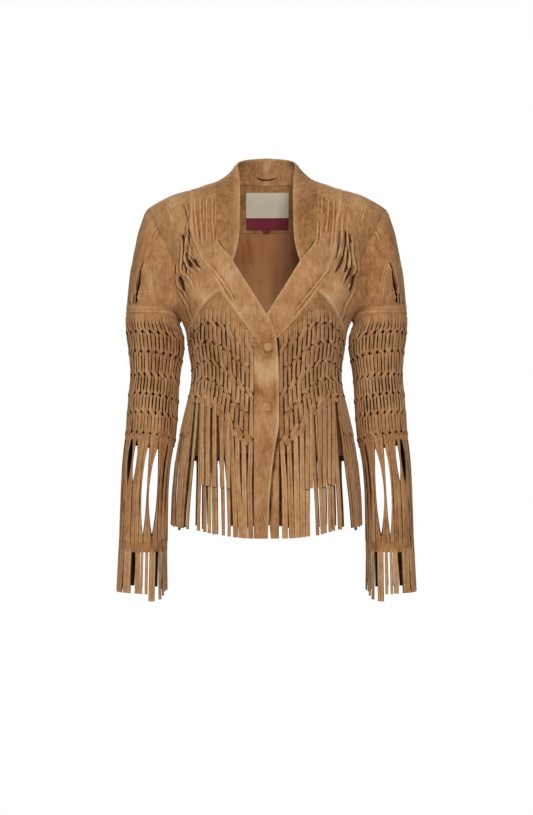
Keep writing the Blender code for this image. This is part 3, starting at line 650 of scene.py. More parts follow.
PLACKET_FOLDS = [
    (30, -300, 34, -420, 5, 0.8),
    (12, -440, 18, -560, 6, 0.8),
]
PLACKET_BRUSHING = [
    (21, -286, 10, 16, 0.6),
    (7, -304, 9, 18, 0.85),
    (18, -332, 10, 13, -0.45),
    (10, -385, 14, 22, 0.30),
    (6, -430, 9, 30, -0.20),
    (14, -500, 9, 34, 0.22),
]
front_suede = suede("front_suede", 0.0)
for name, side in SIDES.items():
    front = Cloth()
    fine = 7
    column = np.linspace(0, STRIPS + PLACKET_COLUMNS, (STRIPS + PLACKET_COLUMNS) * fine + 1)[None]
    top = height_on(lambda u: FRONT_SEAM[side].straight("z", u), column)
    top = top + 8.0 * np.clip((column - STRIPS) / PLACKET_COLUMNS, 0, 1)
    start = np.minimum(top - 7, plait_height(column, 0) + SLIT_RISE)
    upper = 16
    rows = np.arange(upper + 110)[:, None]
    z = np.where(rows <= upper, mix(top, start, rows / upper),
                 mix(start, FRONT_HEM, (rows - upper) / (rows[-1] - upper)))
    cut = np.interp(column, CUT_COLUMN.columns["column"], CUT_COLUMN.columns["cut"])
    slashes = -np.cos(2 * np.pi * cut) * ease((rows - upper * 0.35) / (upper * 0.6))
    relief = np.where(column < STRIPS, -0.5 + slashes * 0.6, 0.0) * (rows <= upper)
    placket_line = np.clip(column - STRIPS, 0, PLACKET_COLUMNS)
    relief = relief - 0.8 * hump((placket_line - 0.16) / 0.05) * (column > STRIPS)
    flat = on_front(side, column, z)
    relief = relief + creases(np.abs(flat[..., 0]), z, PLACKET_FOLDS)
    relief = relief - 1.0 * hump((z - top) / 1.6)
    # Painted highlight along the placket's rolled edge
    rim = 1.5 * hump((PLACKET_COLUMNS - placket_line) / 0.17)
    roll = 1.3 * hump((PLACKET_COLUMNS - placket_line - 0.12) / 0.12)
    # Painted shadow on the left front beside the right front's lapped edge
    beside = -0.9 * hump((flat[..., 0] + FRONT_EDGE.at("right", z) - 2.0) / 2.6)
    shaded = beside if side == TO_LEFT else 0.0
    inset = -0.9 * ease((placket_line - 1.0) / 0.6) if side == TO_LEFT else roll
    grid = on_front(side, column, z, relief + inset)
    keep = (rows[:-1] < upper) | (column[:, :-1] >= STRIPS - 1e-6)
    front.shell(grid, (side * 40, 0, -350), keep=keep, edge=rim,
                tone=0.5 + shaded + patches(np.abs(flat[..., 0]), z, PLACKET_BRUSHING))
    places = crossings(CUTS, PLAIT_ROWS)
    for strip in range(CUTS):
        begin = (SLIT_RISE + 4) / ROW_PITCH
        t = np.arange(-begin, PLAIT_ROWS - 1 + 0.42, 0.055)
        place, over = swerve(places[strip], PLAIT_ROWS, t)
        middle = CUT_COLUMN.at("column", place + 0.5)
        z = plait_height(middle, t)
        loose = ease((t + begin - 0.15) / 0.5)
        lift = np.where(over > 0, 1.3, 0.9) * over
        out = -0.3 + lift + 0.5 * np.sin(t * 2.1 + strip * 1.7) * loose
        path = on_front(side, middle, z, out)
        across = unit(on_front(side, middle + 0.2, z) - on_front(side, middle - 0.2, z))
        outward = unit(np.cross(across, np.gradient(path, axis=0)))
        normal = body_normal(side, front_angle(middle, z), z)
        outward = outward * np.sign((outward * normal).sum(-1))[:, None]
        edges = [on_front(side, CUT_COLUMN.at("column", place + way), z) for way in (0, 1)]
        pitch = np.linalg.norm(edges[1] - edges[0], axis=-1)
        narrow = 0.76 + 0.13 * np.sin(strip * 2.3 + t * 1.9)
        width = pitch * (mix(1.03, narrow, loose) + 0.42 * np.abs(over))
        # Strips passing under a neighbour get painted shade
        front.ribbon(path, across, outward, width, crown=1.2,
                     tone=0.5 + generator.uniform(-0.2, 0.14) - 0.2 * np.clip(-over, 0, 1))
    line = np.linspace(0.0, STRIPS, 150)
    line_z = height_on(lambda u: FRONT_SEAM[side].straight("z", u), line) - FRONT_STITCH_GAP
    front.stitches(on_front(side, line, line_z, 0.5),
                   body_normal(side, front_angle(line, line_z), line_z))
    piece = front.piece("front_%s_suede" % name, front_suede, "front_" + name)


# Hem fringe. The front strips run on below the plaits as long straight strands, cut square
# along a hem that drops from the side to the centre front. Some hang close, some apart, and
# a small plain panel covers the tops of those at the side.

SIDE_HEM = -552.0
HEM_DEPTH = 118.0
HEM_STRANDS = {
    TO_RIGHT: Table(
        "strand u wide cut",
        (-0.6, 157.6, 7.4, 0.1), (0, 156, 7.4, 0.5), (1, 151, 7.4, 1.5),
        (2, 144.5, 7.2, 2.5), (3, 137, 7, 3.5), (4, 129, 6.4, 4.6),
        (5, 109.8, 5.4, 5.7), (6, 99.6, 5.6, 6.8), (7, 92, 5.4, 7.9),
        (8, 82.2, 11, 9.4), (9, 69, 5, 11), (10, 59.4, 5.2, 12.3), (11, 49.4, 7.8, 13.6),
        (12, 41.8, 8.2, 14.8), (13, 34.2, 8.2, 16.1), (14, 26.5, 8.2, 17.4),
    ),
    TO_LEFT: Table(
        "strand u wide cut",
        (-0.6, 157.6, 7.4, 0.1), (0, 156, 7.4, 0.5), (1, 152, 7.4, 1.6),
        (2, 146.5, 7.2, 2.8), (3, 140, 7, 3.9), (4, 119.5, 7.6, 5.2),
        (5, 108, 5.2, 6.4), (6, 102.8, 5.4, 7.6), (7, 94.4, 5.6, 8.8),
        (8, 89.6, 5.4, 10), (9, 82.4, 5.4, 11.2), (10, 66, 7.4, 12.4), (11, 58.4, 8.6, 13.6),
        (12, 50, 9.2, 14.8), (13, 41, 9.4, 16.1), (14, 31.5, 9.4, 17.4),
    ),
}
HEM_COUNT = 15
SIDE_STRANDS = (-0.6, -0.3, 0, 0.35, 0.7, 1, 1.5, 2, 2.5)
SIDE_PANEL_LOW = -403.0
fringe_suede = suede("fringe_suede", 0.03, 0.8)


def hem_strand(side, strand):
    """Root and hem heights of a strand, and its distance from the centre between them."""
    column = CUT_COLUMN.at("column", HEM_STRANDS[side].at("cut", strand))
    root = plait_height(np.full(1, column), PLAIT_ROWS - 0.85)[0]
    hem = mix(SIDE_HEM, FRONT_HEM, ease(strand / (HEM_COUNT - 1)))
    width = BODY.at("width", np.array([root, hem]))
    start = width[0] * np.sin(front_angle(column, root)) ** SQUARE
    end = HEM_STRANDS[side].at("u", strand)

    def reach(z):
        share = np.clip((z - root) / (hem - root), 0, 1)
        share = mix(share, ease(share), 0.5)
        along_side = BODY.at("width", z) * mix(start / width[0], end / width[1], share)
        return mix(along_side, mix(start, end, share), ease((strand - 0.5) / 3))

    return root, hem, reach


def hanging(cloth, side, angles, z, out, width, sway, twist, tone, crown=0.45):
    """One strand of fringe down the body form, a little swayed and twisted."""
    down = np.linspace(0, 1, len(z))
    swing = sway * np.sin(down * 4.2 + sway * 3) * ease(down * 2) / HEM_DEPTH
    angles = angles + swing
    path = body(side, angles, z, out)
    across = unit(body(side, angles + 0.02, z) - body(side, angles - 0.02, z))
    outward = body_normal(side, angles, z)
    turn = (twist * ease(down * 1.4))[:, None]
    across, outward = (across * np.cos(turn) + outward * np.sin(turn),
                       outward * np.cos(turn) - across * np.sin(turn))
    # The strand's underside gets painted shade
    cloth.ribbon(path, across, outward, width, crown=crown, tone=tone, underside_shade=-0.5)


for name, side in SIDES.items():
    fringe = Cloth()
    table = HEM_STRANDS[side]
    for strand in (*SIDE_STRANDS, *range(3, HEM_COUNT)):
        root, hem, reach = hem_strand(side, strand)
        z = np.linspace(root, hem, 40)
        share = (z - root) / (hem - root)
        u = reach(z)
        width = mix(min(7.2, table.at("wide", strand) + 1), table.at("wide", strand),
                    ease(share * 1.6))
        out = -0.8 + lap(side, u) + 0.9 * np.sin(strand * 2.4 + share * 2.0) * share
        hanging(fringe, side, angle_at(u, z), z, out, width, generator.uniform(-1.0, 1.0),
                generator.uniform(-0.16, 0.16), 0.5 + generator.uniform(-0.2, 0.18))
    lines = []
    for strand in np.linspace(-0.6, 2.9, 18):
        root, _, reach = hem_strand(side, strand)
        z = np.linspace(root + 3, SIDE_PANEL_LOW + 4 * math.sin(strand * 5), 20)
        lines.append(body(side, angle_at(reach(z), z), z, 0.9 + 0.3 * math.sin(strand * 3)))
    fringe.shell(np.stack(lines, 1), (side * 40, 0, -370), tone=0.6)
    piece = fringe.piece("hem_fringe_%s_strands" % name, fringe_suede, "hem_fringe_" + name)


# Upper fringe. Shorter strands that hang over the hem fringe from the plaits' lower edge,
# cut square a hand above the hem.

UPPER_STRANDS = {
    TO_RIGHT: Table(
        "strand u wide low",
        (0, 101.8, 8.6, -483), (1, 92.5, 8.0, -484), (2, 81.8, 7.0, -485.5),
        (3, 70.2, 7.0, -486.5), (4, 60.6, 6.6, -488),
    ),
    TO_LEFT: Table(
        "strand u wide low",
        (0, 106, 7.4, -484), (1, 99.5, 5.4, -482), (2, 91.5, 7.0, -486),
        (3, 83.5, 5.6, -487), (4, 70.5, 6.0, -488), (5, 64.5, 6.6, -489),
    ),
}
for name, side in SIDES.items():
    fringe = Cloth()
    table = UPPER_STRANDS[side]
    for strand in range(len(table.columns["u"])):
        u = table.at("u", strand)
        top_z = PLAITS.at("last", u) + 12
        z = np.linspace(top_z, table.at("low", strand), 28)
        share = (z - top_z) / (z[-1] - top_z)
        out = 1.0 + 2.2 * ease(share * 2)
        width = mix(table.at("wide", strand) * 0.8, table.at("wide", strand), ease(share * 2))
        hanging(fringe, side, angle_at(u, z), z, out, width, generator.uniform(-0.6, 0.6),
                generator.uniform(-0.1, 0.1), 0.52 + generator.uniform(-0.12, 0.14))
    piece = fringe.piece("upper_fringe_%s_strands" % name, fringe_suede, "upper_fringe_" + name)


# Back fringe. Strands from a narrow strip sewn under the back hem, as long as the front
# ones; they hang straight behind the front strands, so that light comes through between,
# and closer together behind the placket and at the sides.

BACK_SPREAD = 1.073
BACK_STRANDS = (2, 3, 4, 5, 6, 7, 8, 9, 10, 10.5, 11, 11.5, 12, 12.5, 13, 13.5, 14)
CENTRE_STRANDS = (5.4, 14.2, 22.0)
SIDE_TURNS = (90, 94, 98, 102)
back_fringe = Cloth()
strip_z = np.linspace(BACK_HEM + 0.5, BACK_HEM - 9, 5)[:, None]
strip_angle = mix(np.pi / 2 + 0.02, 1.5 * np.pi - 0.02, np.linspace(0, 1, 120)[None])
grid = body(1, strip_angle, strip_z, -0.2)
back_fringe.shell(grid, (0, 0, BACK_HEM))
for side in (TO_RIGHT, TO_LEFT):
    table = HEM_STRANDS[side]
    for strand in BACK_STRANDS:
        reach = hem_strand(side, strand)[2]
        z = np.linspace(BACK_HEM - 7, FRONT_HEM + 6 - 4 * math.sin(strand * 2.4), 26)
        share = np.linspace(0, 1, 26)
        joined_top = 1 + 0.7 * np.exp(-share / (0.10 + 0.05 * math.sin(strand * 2.1)))
        u = np.minimum(reach(z) * BACK_SPREAD, BODY.at("width", z) * 0.985)
        hanging(back_fringe, side, angle_at(u, z, True), z,
                0.8 * np.sin(strand * 1.3 + share) * share - 1.5 * (strand % 1),
                table.at("wide", strand) * 0.94 * joined_top,
                generator.uniform(-0.4, 0.4), generator.uniform(-0.1, 0.1),
                0.45 + generator.uniform(-0.16, 0.12))
    for u in CENTRE_STRANDS:
        z = np.linspace(BACK_HEM - 7, FRONT_HEM + 5 - 2 * math.sin(u), 26)
        hanging(back_fringe, side, angle_at(u + np.linspace(0, 0.6, 26), z, True), z, 0.3, 8.6,
                generator.uniform(-0.4, 0.4), generator.uniform(-0.1, 0.1),
                0.42 + generator.uniform(-0.14, 0.1))
    for turn in np.radians(SIDE_TURNS):
        z = np.linspace(BACK_HEM - 7, SIDE_HEM - 1.5 * math.sin(turn * 40), 26)
        hanging(back_fringe, side, np.full(26, turn), z, 0.2 * math.sin(turn * 30), 8.4,
                generator.uniform(-0.5, 0.5), generator.uniform(-0.2, 0.2),
                0.46 + generator.uniform(-0.16, 0.12))
piece = back_fringe.piece("back_fringe_strands", fringe_suede, "back_fringe")


# Front yokes. From the shoulder seam to the seam over the plaited fronts, slashed beside
# the armhole into narrow strips, with small holes where the slashes gape.

LAPEL = Table(
    "row inner inner_z outer_right outer_left outer_z",
    (0, 82.0, 14.0, 128, 127, -1),
    (1, 82.0, 8.0, 127, 126, -8),
    (2, 82.2, -8.0, 126, 125, -22),
    (3, 82.0, -26, 125, 122, -40),
    (4, 81.4, -48, 126, 117, -62),
    (5, 80.4, -70, 121, 115, -85),
    (6, 79, -88, 113, 114, -107),
    (7, 54, -124, 104, 109, -125),
    (8, 38, -150, 90, 100, -145),
    (9, 18, -182, 75, 84, -174),
    (10, 3, -206, 54, 62, -202.5),
    (11, -7, -223, 38, 44.5, -224.5),
    (12, -15, -241, 20, 20, -249),
)
LAPEL_ROWS = 12
YOKE_ROWS = 9
LAPEL_STITCH_GAPS = (2.6, 7.0)
YOKE_STITCH_GAP = 2.8
UNDERARM = 19.0
UNDERARM_BLEND = 26.0
POINT_COLUMN = {TO_RIGHT: 10, TO_LEFT: 9}

# Lines worked into a panel: the kind of line, and the points that it runs through. A cut
# leaves a furrow with painted shade between two raised strips with painted highlight, a seam a
# fine groove with painted shade in a double ridge with painted highlight, and a fold a soft
# ridge with painted highlight and a little painted shade beside it.
CUT, SEAM, FOLD = "cut", "seam", "fold"
YOKE_LINES = {
    TO_RIGHT: [
        (CUT, (138.6, -78.9), (134.0, -88.4), (133.0, -104), (134.6, -121), (137, -139)),
        (CUT, (129.8, -108.5), (127.6, -121), (121.5, -135.0)),
        (CUT, (122.7, -114.6), (117.5, -124.0), (109.0, -134.0)),
        (CUT, (131.2, -128.0), (129.5, -143.0)),
        (CUT, (148.0, -126.8), (148.6, -143.0)),
        (CUT, (117.2, -74.0), (115.0, -95.0), (107.0, -118.0)),
        (CUT, (124.4, -62.0), (124.6, -84.0), (122.8, -103.0)),
        (FOLD, (140.0, -78), (136.8, -102), (139, -131), (137.8, -141), (127.8, -148),
         (119.6, -161.5), (116, -173.7)),
        (FOLD, (129.8, -61.5), (127.8, -78), (131.3, -102), (131.9, -121), (127.8, -131),
         (117.6, -141), (114.5, -146)),
        (FOLD, (125.7, -49), (127.8, -70), (122.7, -90), (123.7, -110.5), (117.6, -125),
         (109.4, -137), (106.4, -141)),
        (FOLD, (119.6, -29), (117.6, -53), (111.5, -78), (109.4, -98), (108.4, -112)),
        (FOLD, (147.0, -143), (144, -161.5), (132.9, -173.7), (129.8, -182)),
        (FOLD, (134, -22), (126, -50), (122, -70)),
        (FOLD, (131, -26), (125.6, -48), (124.4, -62)),
        (SEAM, (162.4, -25), (149.6, -60)),
        (FOLD, (146, -163), (128, -196), (119, -222)),
    ],
    TO_LEFT: [
        (CUT, (136.5, -78), (133.5, -92), (136, -118), (140, -136)),
        (CUT, (128, -70), (127, -96), (124, -114), (111, -143)),
        (CUT, (131.5, -100), (130, -124), (126, -142)),
        (CUT, (118, -72), (117, -96), (110, -124)),
        (CUT, (146, -120), (147.5, -142)),
        (FOLD, (139, -80), (139.5, -110), (144, -133), (137, -158), (128, -172)),
        (FOLD, (131, -60), (130, -86), (134, -112), (134, -128), (124, -154), (118, -164)),
        (FOLD, (122, -50), (122, -84), (119, -108), (106, -132)),
        (FOLD, (112, -40), (110, -74), (104, -104)),
        (SEAM, (162.4, -25), (149.6, -60)),
        (FOLD, (126, -24), (121, -60)),
        (FOLD, (130, -26), (125, -50), (124, -60)),
        (FOLD, (146, -163), (128, -196), (119, -222)),
    ],
}
HOLES = {
    TO_RIGHT: [
        [(134.8, -78.5), (131.5, -96.5), 1.9],
        [(116.3, -119.0), (107.5, -134.0), 2.3],
        [(126.4, -119.0), (119.0, -134.2), 2.4],
        [(131.6, -124.0), (128.0, -141.5), 1.9],
        [(140.2, -145.0), (132.4, -171.0), 3.4],
        [(121.5, -72.0), (123.4, -92.0), 0.9],
    ],
    TO_LEFT: [
        [(133.3, -78.0), (136.5, -94.0), 1.8],
        [(124.5, -112.0), (110.5, -143.0), 3.2],
        [(130.0, -128.0), (126.0, -142.0), 1.9],
        [(139.0, -131.0), (125.5, -156.0), 2.8],
        [(142.0, -142.0), (134.5, -173.0), 3.0],
    ],
}


def worked(x, z, lines):
    """Relief that cuts, seams and folds leave on a panel, with painted highlight and painted
    shade.
    """
    relief, ridge_highlight, tone = np.zeros((3, *x.shape))
    for kind, *line in lines:
        off, along = off_path(x, z, line)
        strength = ease(along * 6) * ease((1 - along) * 6)

        def band(middle, width):
            return strength * hump((off - middle) / width)

        # Grooves and furrows get painted shade; raised strips and ridges a painted highlight
        if kind == CUT:
            relief += 1.4 * band(2.7, 1.2) - 2.2 * band(0, 1.2)
            ridge_highlight = np.maximum(ridge_highlight, 1.2 * band(2.5, 0.9))
            tone -= 1.7 * band(0, 1.15)
        elif kind == SEAM:
            relief += 0.8 * band(2.2, 1.3) - 1.0 * band(0, 0.9)
            ridge_highlight = np.maximum(ridge_highlight, 1.1 * band(1.7, 1.2))
            tone -= 0.6 * band(0, 0.8)
        else:
            relief += 1.5 * band(0, 1.6) - 0.8 * band(3.2, 1.4)
            ridge_highlight = np.maximum(ridge_highlight, 1.0 * band(0, 1.1))
            tone -= 0.5 * band(3.0, 1.2)
    return relief, ridge_highlight, tone


def off_path(x, z, line):
    """Distance from a line through several points, and how far along it the nearest lies."""
    best = np.full(x.shape, 1e9)
    along = np.zeros(x.shape)
    for number, (start, end) in enumerate(zip(line, line[1:])):
        off, t = off_line(x, z, *start, *end)
        nearer = off < best
        best = np.where(nearer, off, best)
        along = np.where(nearer, (number + t) / (len(line) - 1), along)
    return best, along


def cut_holes(x, z, holes, cell):
    """Moves grid points onto the holes' edges; gives them back with the cells to keep."""
    keep = np.ones((x.shape[0] - 1, x.shape[1] - 1), bool)
    for start, end, half in holes:
        start, end = np.array(start), np.array(end)
        along = unit(end - start)
        length = np.linalg.norm(end - start)

        def in_hole(x, z):
            t = (x - start[0]) * along[0] + (z - start[1]) * along[1]
            off = (x - start[0]) * -along[1] + (z - start[1]) * along[0]
            bow = np.sqrt(np.clip(np.sin(np.pi * np.clip(t / length, 0, 1)), 0, 1))
            return off, half * bow, (t > 0) & (t < length)

        off, open_here, beside = in_hole(x, z)
        near = (np.abs(np.abs(off) - open_here) < cell * 0.55) & beside
        shift = np.where(near, np.copysign(open_here, off) - off, 0.0)
        x = x - shift * along[1]
        z = z + shift * along[0]
        middles = [(grid[:-1, :-1] + grid[1:, 1:] + grid[1:, :-1] + grid[:-1, 1:]) / 4
                   for grid in (x, z)]
        off, open_here, beside = in_hole(*middles)
        keep &= ~((np.abs(off) < open_here - 0.05) & beside)
    return x, z, keep


def line_pair(x, z):
    """Points on the front, as pairs of angle and height."""
    return np.stack(np.broadcast_arrays(angle_at(x, z), z), -1)


def lapel_outer(side, row):
    return LAPEL.at("outer_right" if side == TO_RIGHT else "outer_left", row)


YOKE_BRUSHING = [
    (150, -22, 16, 12, 0.45),
    (112, -166, 14, 12, 0.35),
    (104, -182, 20, 7, 0.35),
    (128, -205, 10, 16, -0.15),
    (150, -100, 8, 40, -0.25),
]
YOKE_FOLDS = [
    (112, -8, 108, -60, 5, 1.0),
    (150, -20, 140, -60, 8, 1.4),
    (100, -150, 130, -200, 7, -1.4),
    (96, -160, 126, -212, 7, 1.4),
    (136, -190, 124, -232, 6, 1.2),
]
for name, side in SIDES.items():
    yoke = Cloth()
    columns = POINT_COLUMN[side]
    share = np.linspace(0, 1, 56)[None]
    row = np.linspace(0, YOKE_ROWS, 150)[:, None]
    depth_z = LAPEL.at("outer_z", row)
    first_z, last_z = LAPEL.at("outer_z", 0), LAPEL.at("outer_z", YOKE_ROWS)
    t = (depth_z - first_z) / (last_z - first_z)
    left = line_pair(lapel_outer(side, row), depth_z)
    arm_z = mix(SHOULDER.at("z", SHOULDER_END), YOKE_END, t)
    open_z = np.maximum(arm_z, ARMPIT + UNDERARM)
    arm_angle = angle_at(ARMHOLE.at("front", open_z), open_z)
    under = ease((open_z - arm_z) / UNDERARM_BLEND)
    right = np.stack([mix(arm_angle, np.pi / 2, under), arm_z], -1)
    top_x = mix(lapel_outer(side, 0), SHOULDER_END, share)
    top = line_pair(top_x, SHOULDER.at("z", top_x))
    reach = column_reach(columns * (1 - share))
    seam_z = FRONT_SEAM[side].straight("z", reach)
    bottom = np.stack([np.where(share < 1, angle_at(reach, seam_z), np.pi / 2), seam_z], -1)
    beside, down = share[..., None], t[..., None]
    left0, right0 = top[:, :1], top[:, -1:]
    left1, right1 = bottom[:, :1], bottom[:, -1:]
    lower = ease(t * 30)[..., None]
    side_left = mix(left0, left, lower)
    side_right = mix(right0, right, lower)
    patch = (side_left * (1 - beside) + side_right * beside + top * (1 - down) + bottom * down
             - (left0 * (1 - beside) + right0 * beside) * (1 - down)
             - (left1 * (1 - beside) + right1 * beside) * down)
    angle, z = patch[..., 0], patch[..., 1]
    x = BODY.at("width", z) * np.sin(angle) ** SQUARE
    # The slashed field is worked out on x and z, and only there
    field = (x < ARMHOLE.at("front", z) - 1.5) & (z > ARMPIT + 6) & (share > 0.02)
    moved_x, moved_z, keep = cut_holes(x, z, HOLES[side], 1.6)
    x, z = np.where(field, moved_x, x), np.where(field, moved_z, z)
    angle = np.where(field, angle_at(x, z), angle)
    lines_relief, ridge_highlight, tone = worked(x, z, YOKE_LINES[side])
    relief = creases(x, z, YOKE_FOLDS) + lines_relief
    relief = relief - 0.7 * hump(share * 46) - 0.4 * hump((1 - share) * 46)
    # A raised ridge along the seam, with a painted highlight
    seam_edge = hump(((1 - t) * 85 - 1.6) / 1.2)
    relief = relief - 0.9 * hump((1 - t) * 90) + 0.7 * seam_edge
    ridge_highlight = np.maximum(ridge_highlight, 0.8 * seam_edge)
    yoke.shell(body(side, angle, z, relief), (side * 100, 0, -130), keep=keep, edge=ridge_highlight,
               tone=0.5 + tone + patches(x, z, YOKE_BRUSHING))
    line_row = np.linspace(0.1, YOKE_ROWS, 120)
    for gap in LAPEL_STITCH_GAPS:
        line_z = LAPEL.at("outer_z", line_row)
        line_x = lapel_outer(side, line_row) + gap
        angles = angle_at(line_x, line_z)
        yoke.sewn(side, angles, line_z, 0.2)
    reach = column_reach(np.linspace(columns - 0.3, 0.3, 90))
    line_z = FRONT_SEAM[side].straight("z", reach) + YOKE_STITCH_GAP
    yoke.sewn(side, angle_at(reach, line_z), line_z, 0.2)
    piece = yoke.piece("front_yoke_%s_suede" % name, yoke_suede, "front_yoke_" + name)


# Lapel bands. Each runs from the shoulder seam down the neckline to the first button, with
# the collar sewn on above the gorge and a turned, topstitched edge below it.

LAPEL_LINES = {
    TO_RIGHT: [
        (FOLD, (97.5, -14), (97.0, -50), (96.0, -92)), (FOLD, (101.8, -20), (101.2, -62)),
        (FOLD, (88.2, -12), (87.0, -60), (84.0, -98)), (SEAM, (84.6, -24), (84.8, -66)),
        (FOLD, (108.0, -12), (106.0, -60), (103.0, -100)),
        (FOLD, (118.0, -14), (114.0, -60), (110, -96)),
        (FOLD, (94, -128), (70, -158), (48, -196)),
    ],
    TO_LEFT: [
        (FOLD, (82.5, -58), (80.6, -94)), (SEAM, (85.4, -66), (84.0, -90)),
        (FOLD, (101, -18), (99, -50), (95, -84)), (FOLD, (110, -12), (108, -60), (104, -104)),
        (FOLD, (90, -14), (89.5, -50)),
        (FOLD, (104, -132), (74, -170), (44, -208)),
    ],
}
LAPEL_STITCHES = [(0.12, 6.2, 110), (0.90, 0.3, 170)]
LAPEL_BRUSHING = [
    (70, -88, 8, 5, 0.45),
    (62, -150, 16, 20, 0.22),
    (98, -120, 10, 14, -0.15),
    (30, -206, 12, 12, 0.30),
    (112, -24, 10, 14, 0.18),
]
for name, side in SIDES.items():
    band = Cloth()
    row = np.linspace(0, LAPEL_ROWS, 130)[:, None]
    share = np.linspace(0, 1, 34)[None]
    start, end = LAPEL.at("inner", row), lapel_outer(side, row)
    u = mix(start, end, share)
    z = mix(LAPEL.at("inner_z", row), LAPEL.at("outer_z", row), share)
    blend = ease(1 - row / 0.8)
    z = mix(z, SHOULDER.at("z", u), blend)
    relief, ridge_highlight, tone = worked(u, z, LAPEL_LINES[side])
    relief = relief - 0.9 * hump((1 - share) * 26)
    relief = relief + 0.7 * hump((1 - share - 0.11) * 15)
    turned = ease((row - 5.7) / 0.6)
    relief = relief + turned * (0.7 * hump((share - 0.08) * 16)
                                - 0.6 * hump(share * 26))
    relief = relief - 0.5 * hump((LAPEL_ROWS - row) * 9)
    angle = angle_at(u, z)
    # Painted highlight on the turned edge and on the ridge by the outer edge
    ridge_highlight = np.maximum(ridge_highlight, turned * hump(share * 24))
    ridge_highlight = np.maximum(ridge_highlight, 0.8 * hump((1 - share - 0.10) * 17))
    band.shell(body(side, angle, z, relief + lap(side, u)), (side * 60, 0, -120), edge=ridge_highlight,
               tone=0.5 + tone + patches(u, z, LAPEL_BRUSHING))
    for part, top_row, count in LAPEL_STITCHES:
        line_row = np.linspace(top_row, LAPEL_ROWS, count)
        line_u = mix(LAPEL.at("inner", line_row), lapel_outer(side, line_row), part)
        line_z = mix(LAPEL.at("inner_z", line_row), LAPEL.at("outer_z", line_row), part)
        angles = angle_at(line_u, line_z)
        band.sewn(side, angles, line_z, lap(side, line_u) + 0.35)
    piece = band.piece("lapel_%s_suede" % name, yoke_suede, "lapel_" + name)


# Collar. A band of double suede that stands up round the back of the neck and rolls down in
# front to the gorge seam, with a seam at the centre back and a soft rolled edge.

COLLAR = Table(
    "station seam_x seam_z edge_x edge_y edge_z",
    (0, 79, -88, 54, -101, -124),
    (1, 80.4, -70, 49, -93, -107),
    (2, 81.4, -48, 45, -81, -84),
    (3, 82, -26, 44, -66, -58),
    (4, 82.2, -8, 44, -50, -30),
    (5, 82, 8, 44.3, -32, -4),
    (6, 82, 14.5, 45.5, -8, 20),
    (7, 78, 15.2, 48.5, 12, 36),
    (8, 66, 16, 49.5, 33, 48),
    (9, 38, 15, 34, 58, 57),
    (10, 0, 14, 0, 69, 61),
)
COLLAR_STATIONS = 10
COLLAR_SHOULDER = 6
COLLAR_BULGE = 4.0
COLLAR_STITCH_ROW = 18
collar_suede = suede("collar_suede", -0.06)
collar = Cloth()
column = np.linspace(0, 2 * COLLAR_STATIONS, 181)[None]
share = np.linspace(0, 1, 22)[:, None]
station = COLLAR_STATIONS - np.abs(column - COLLAR_STATIONS)
side = np.where(column < COLLAR_STATIONS, TO_RIGHT, TO_LEFT)
seam_x, seam_z = COLLAR.at("seam_x", station), COLLAR.at("seam_z", station)
seam_angle = np.where(station > COLLAR_SHOULDER, angle_at(seam_x, seam_z, True),
                      angle_at(seam_x, seam_z))
seam = body(1, seam_angle, seam_z)
seam[..., 0] *= side
rim = joined(side * COLLAR.at("edge_x", station), COLLAR.at("edge_y", station),
             COLLAR.at("edge_z", station))
place = mix(seam, rim, share[..., None])
bulge = COLLAR_BULGE * np.sin(np.pi * share) * ease(station / 2)
rolled = -1.2 * hump((1 - share) * 12) - 0.3 * hump(share * 18)
centre_seam = -0.9 * hump((column - COLLAR_STATIONS) * 7)
centre_seam = centre_seam + 0.5 * hump((np.abs(column - COLLAR_STATIONS) - 0.4) * 4)
soft = 0.6 * np.sin(column * 2.1 + share * 3) * np.sin(np.pi * share)
outward = unit(np.stack([place[..., 0], place[..., 1] + 15, np.full(place.shape[:2], 12.0)], -1))
grid = place + outward * (bulge + rolled + centre_seam + soft)[..., None]
# Painted highlight on the rolled edge and along the centre seam
edge = np.maximum(hump((1 - share) * 10),
                  hump((column - COLLAR_STATIONS) * 6))
collar.shell(grid, (0, -15, -30), thickness=2.2, edge=edge, underside_shade=0)
stitch_line, stitch_out = grid[COLLAR_STITCH_ROW], outward[COLLAR_STITCH_ROW]
collar.stitches(stitch_line + stitch_out * 0.1, stitch_out)
piece = collar.piece("collar_suede_band", collar_suede, "collar")


# Sleeve caps. A front and a back half each, set into the armhole and seamed to the plaited
# lower sleeve; the front half has a forked seam under the shoulder and two open slashes.

SLEEVE = Table(
    "z outer inner depth y",
    (-200, 231, 145.5, 49, 0),
    (-222, 232, 143.5, 48, 0.5),
    (-230, 231.3, 140, 47.5, 1),
    (-244, 230, 136, 47, 1),
    (-264, 227, 136.5, 46, 1.5),
    (-284, 225, 139.5, 45, 2),
    (-304, 223.6, 142.7, 44, 2),
    (-333, 226.5, 144.6, 43, 1),
    (-353, 228.5, 146, 43, 0),
    (-393, 231, 148.5, 42.5, -2),
    (-430, 235, 153.5, 42, -4),
    (-452, 237, 157, 42, -5),
    (-502, 240, 161, 41, -8),
    (-561, 242, 162.5, 40.5, -11),
    (-601, 243.3, 163, 40.5, -13),
    (-663, 246, 163, 42, -14),
)
SLEEVE_SEAM = -200.0
ARMPIT_DIP = 22.0
FACES = {"front": -1, "back": 1}


def sleeve_seam_height(angle):
    return SLEEVE_SEAM - ARMPIT_DIP * np.maximum(0.0, -np.cos(angle)) ** 12


def sleeve_ring(side, angle, z, out=0.0):
    """Point on the sleeve; angle 0 at the outer line, a quarter turn in front."""
    outer, inner = SLEEVE.at("outer", z), SLEEVE.at("inner", z)
    depth = SLEEVE.at("depth", z) + out
    x = (outer + inner) / 2 + ((outer - inner) / 2 + out) * np.cos(angle)
    return joined(side * x, SLEEVE.at("y", z) - depth * np.sin(angle), z)


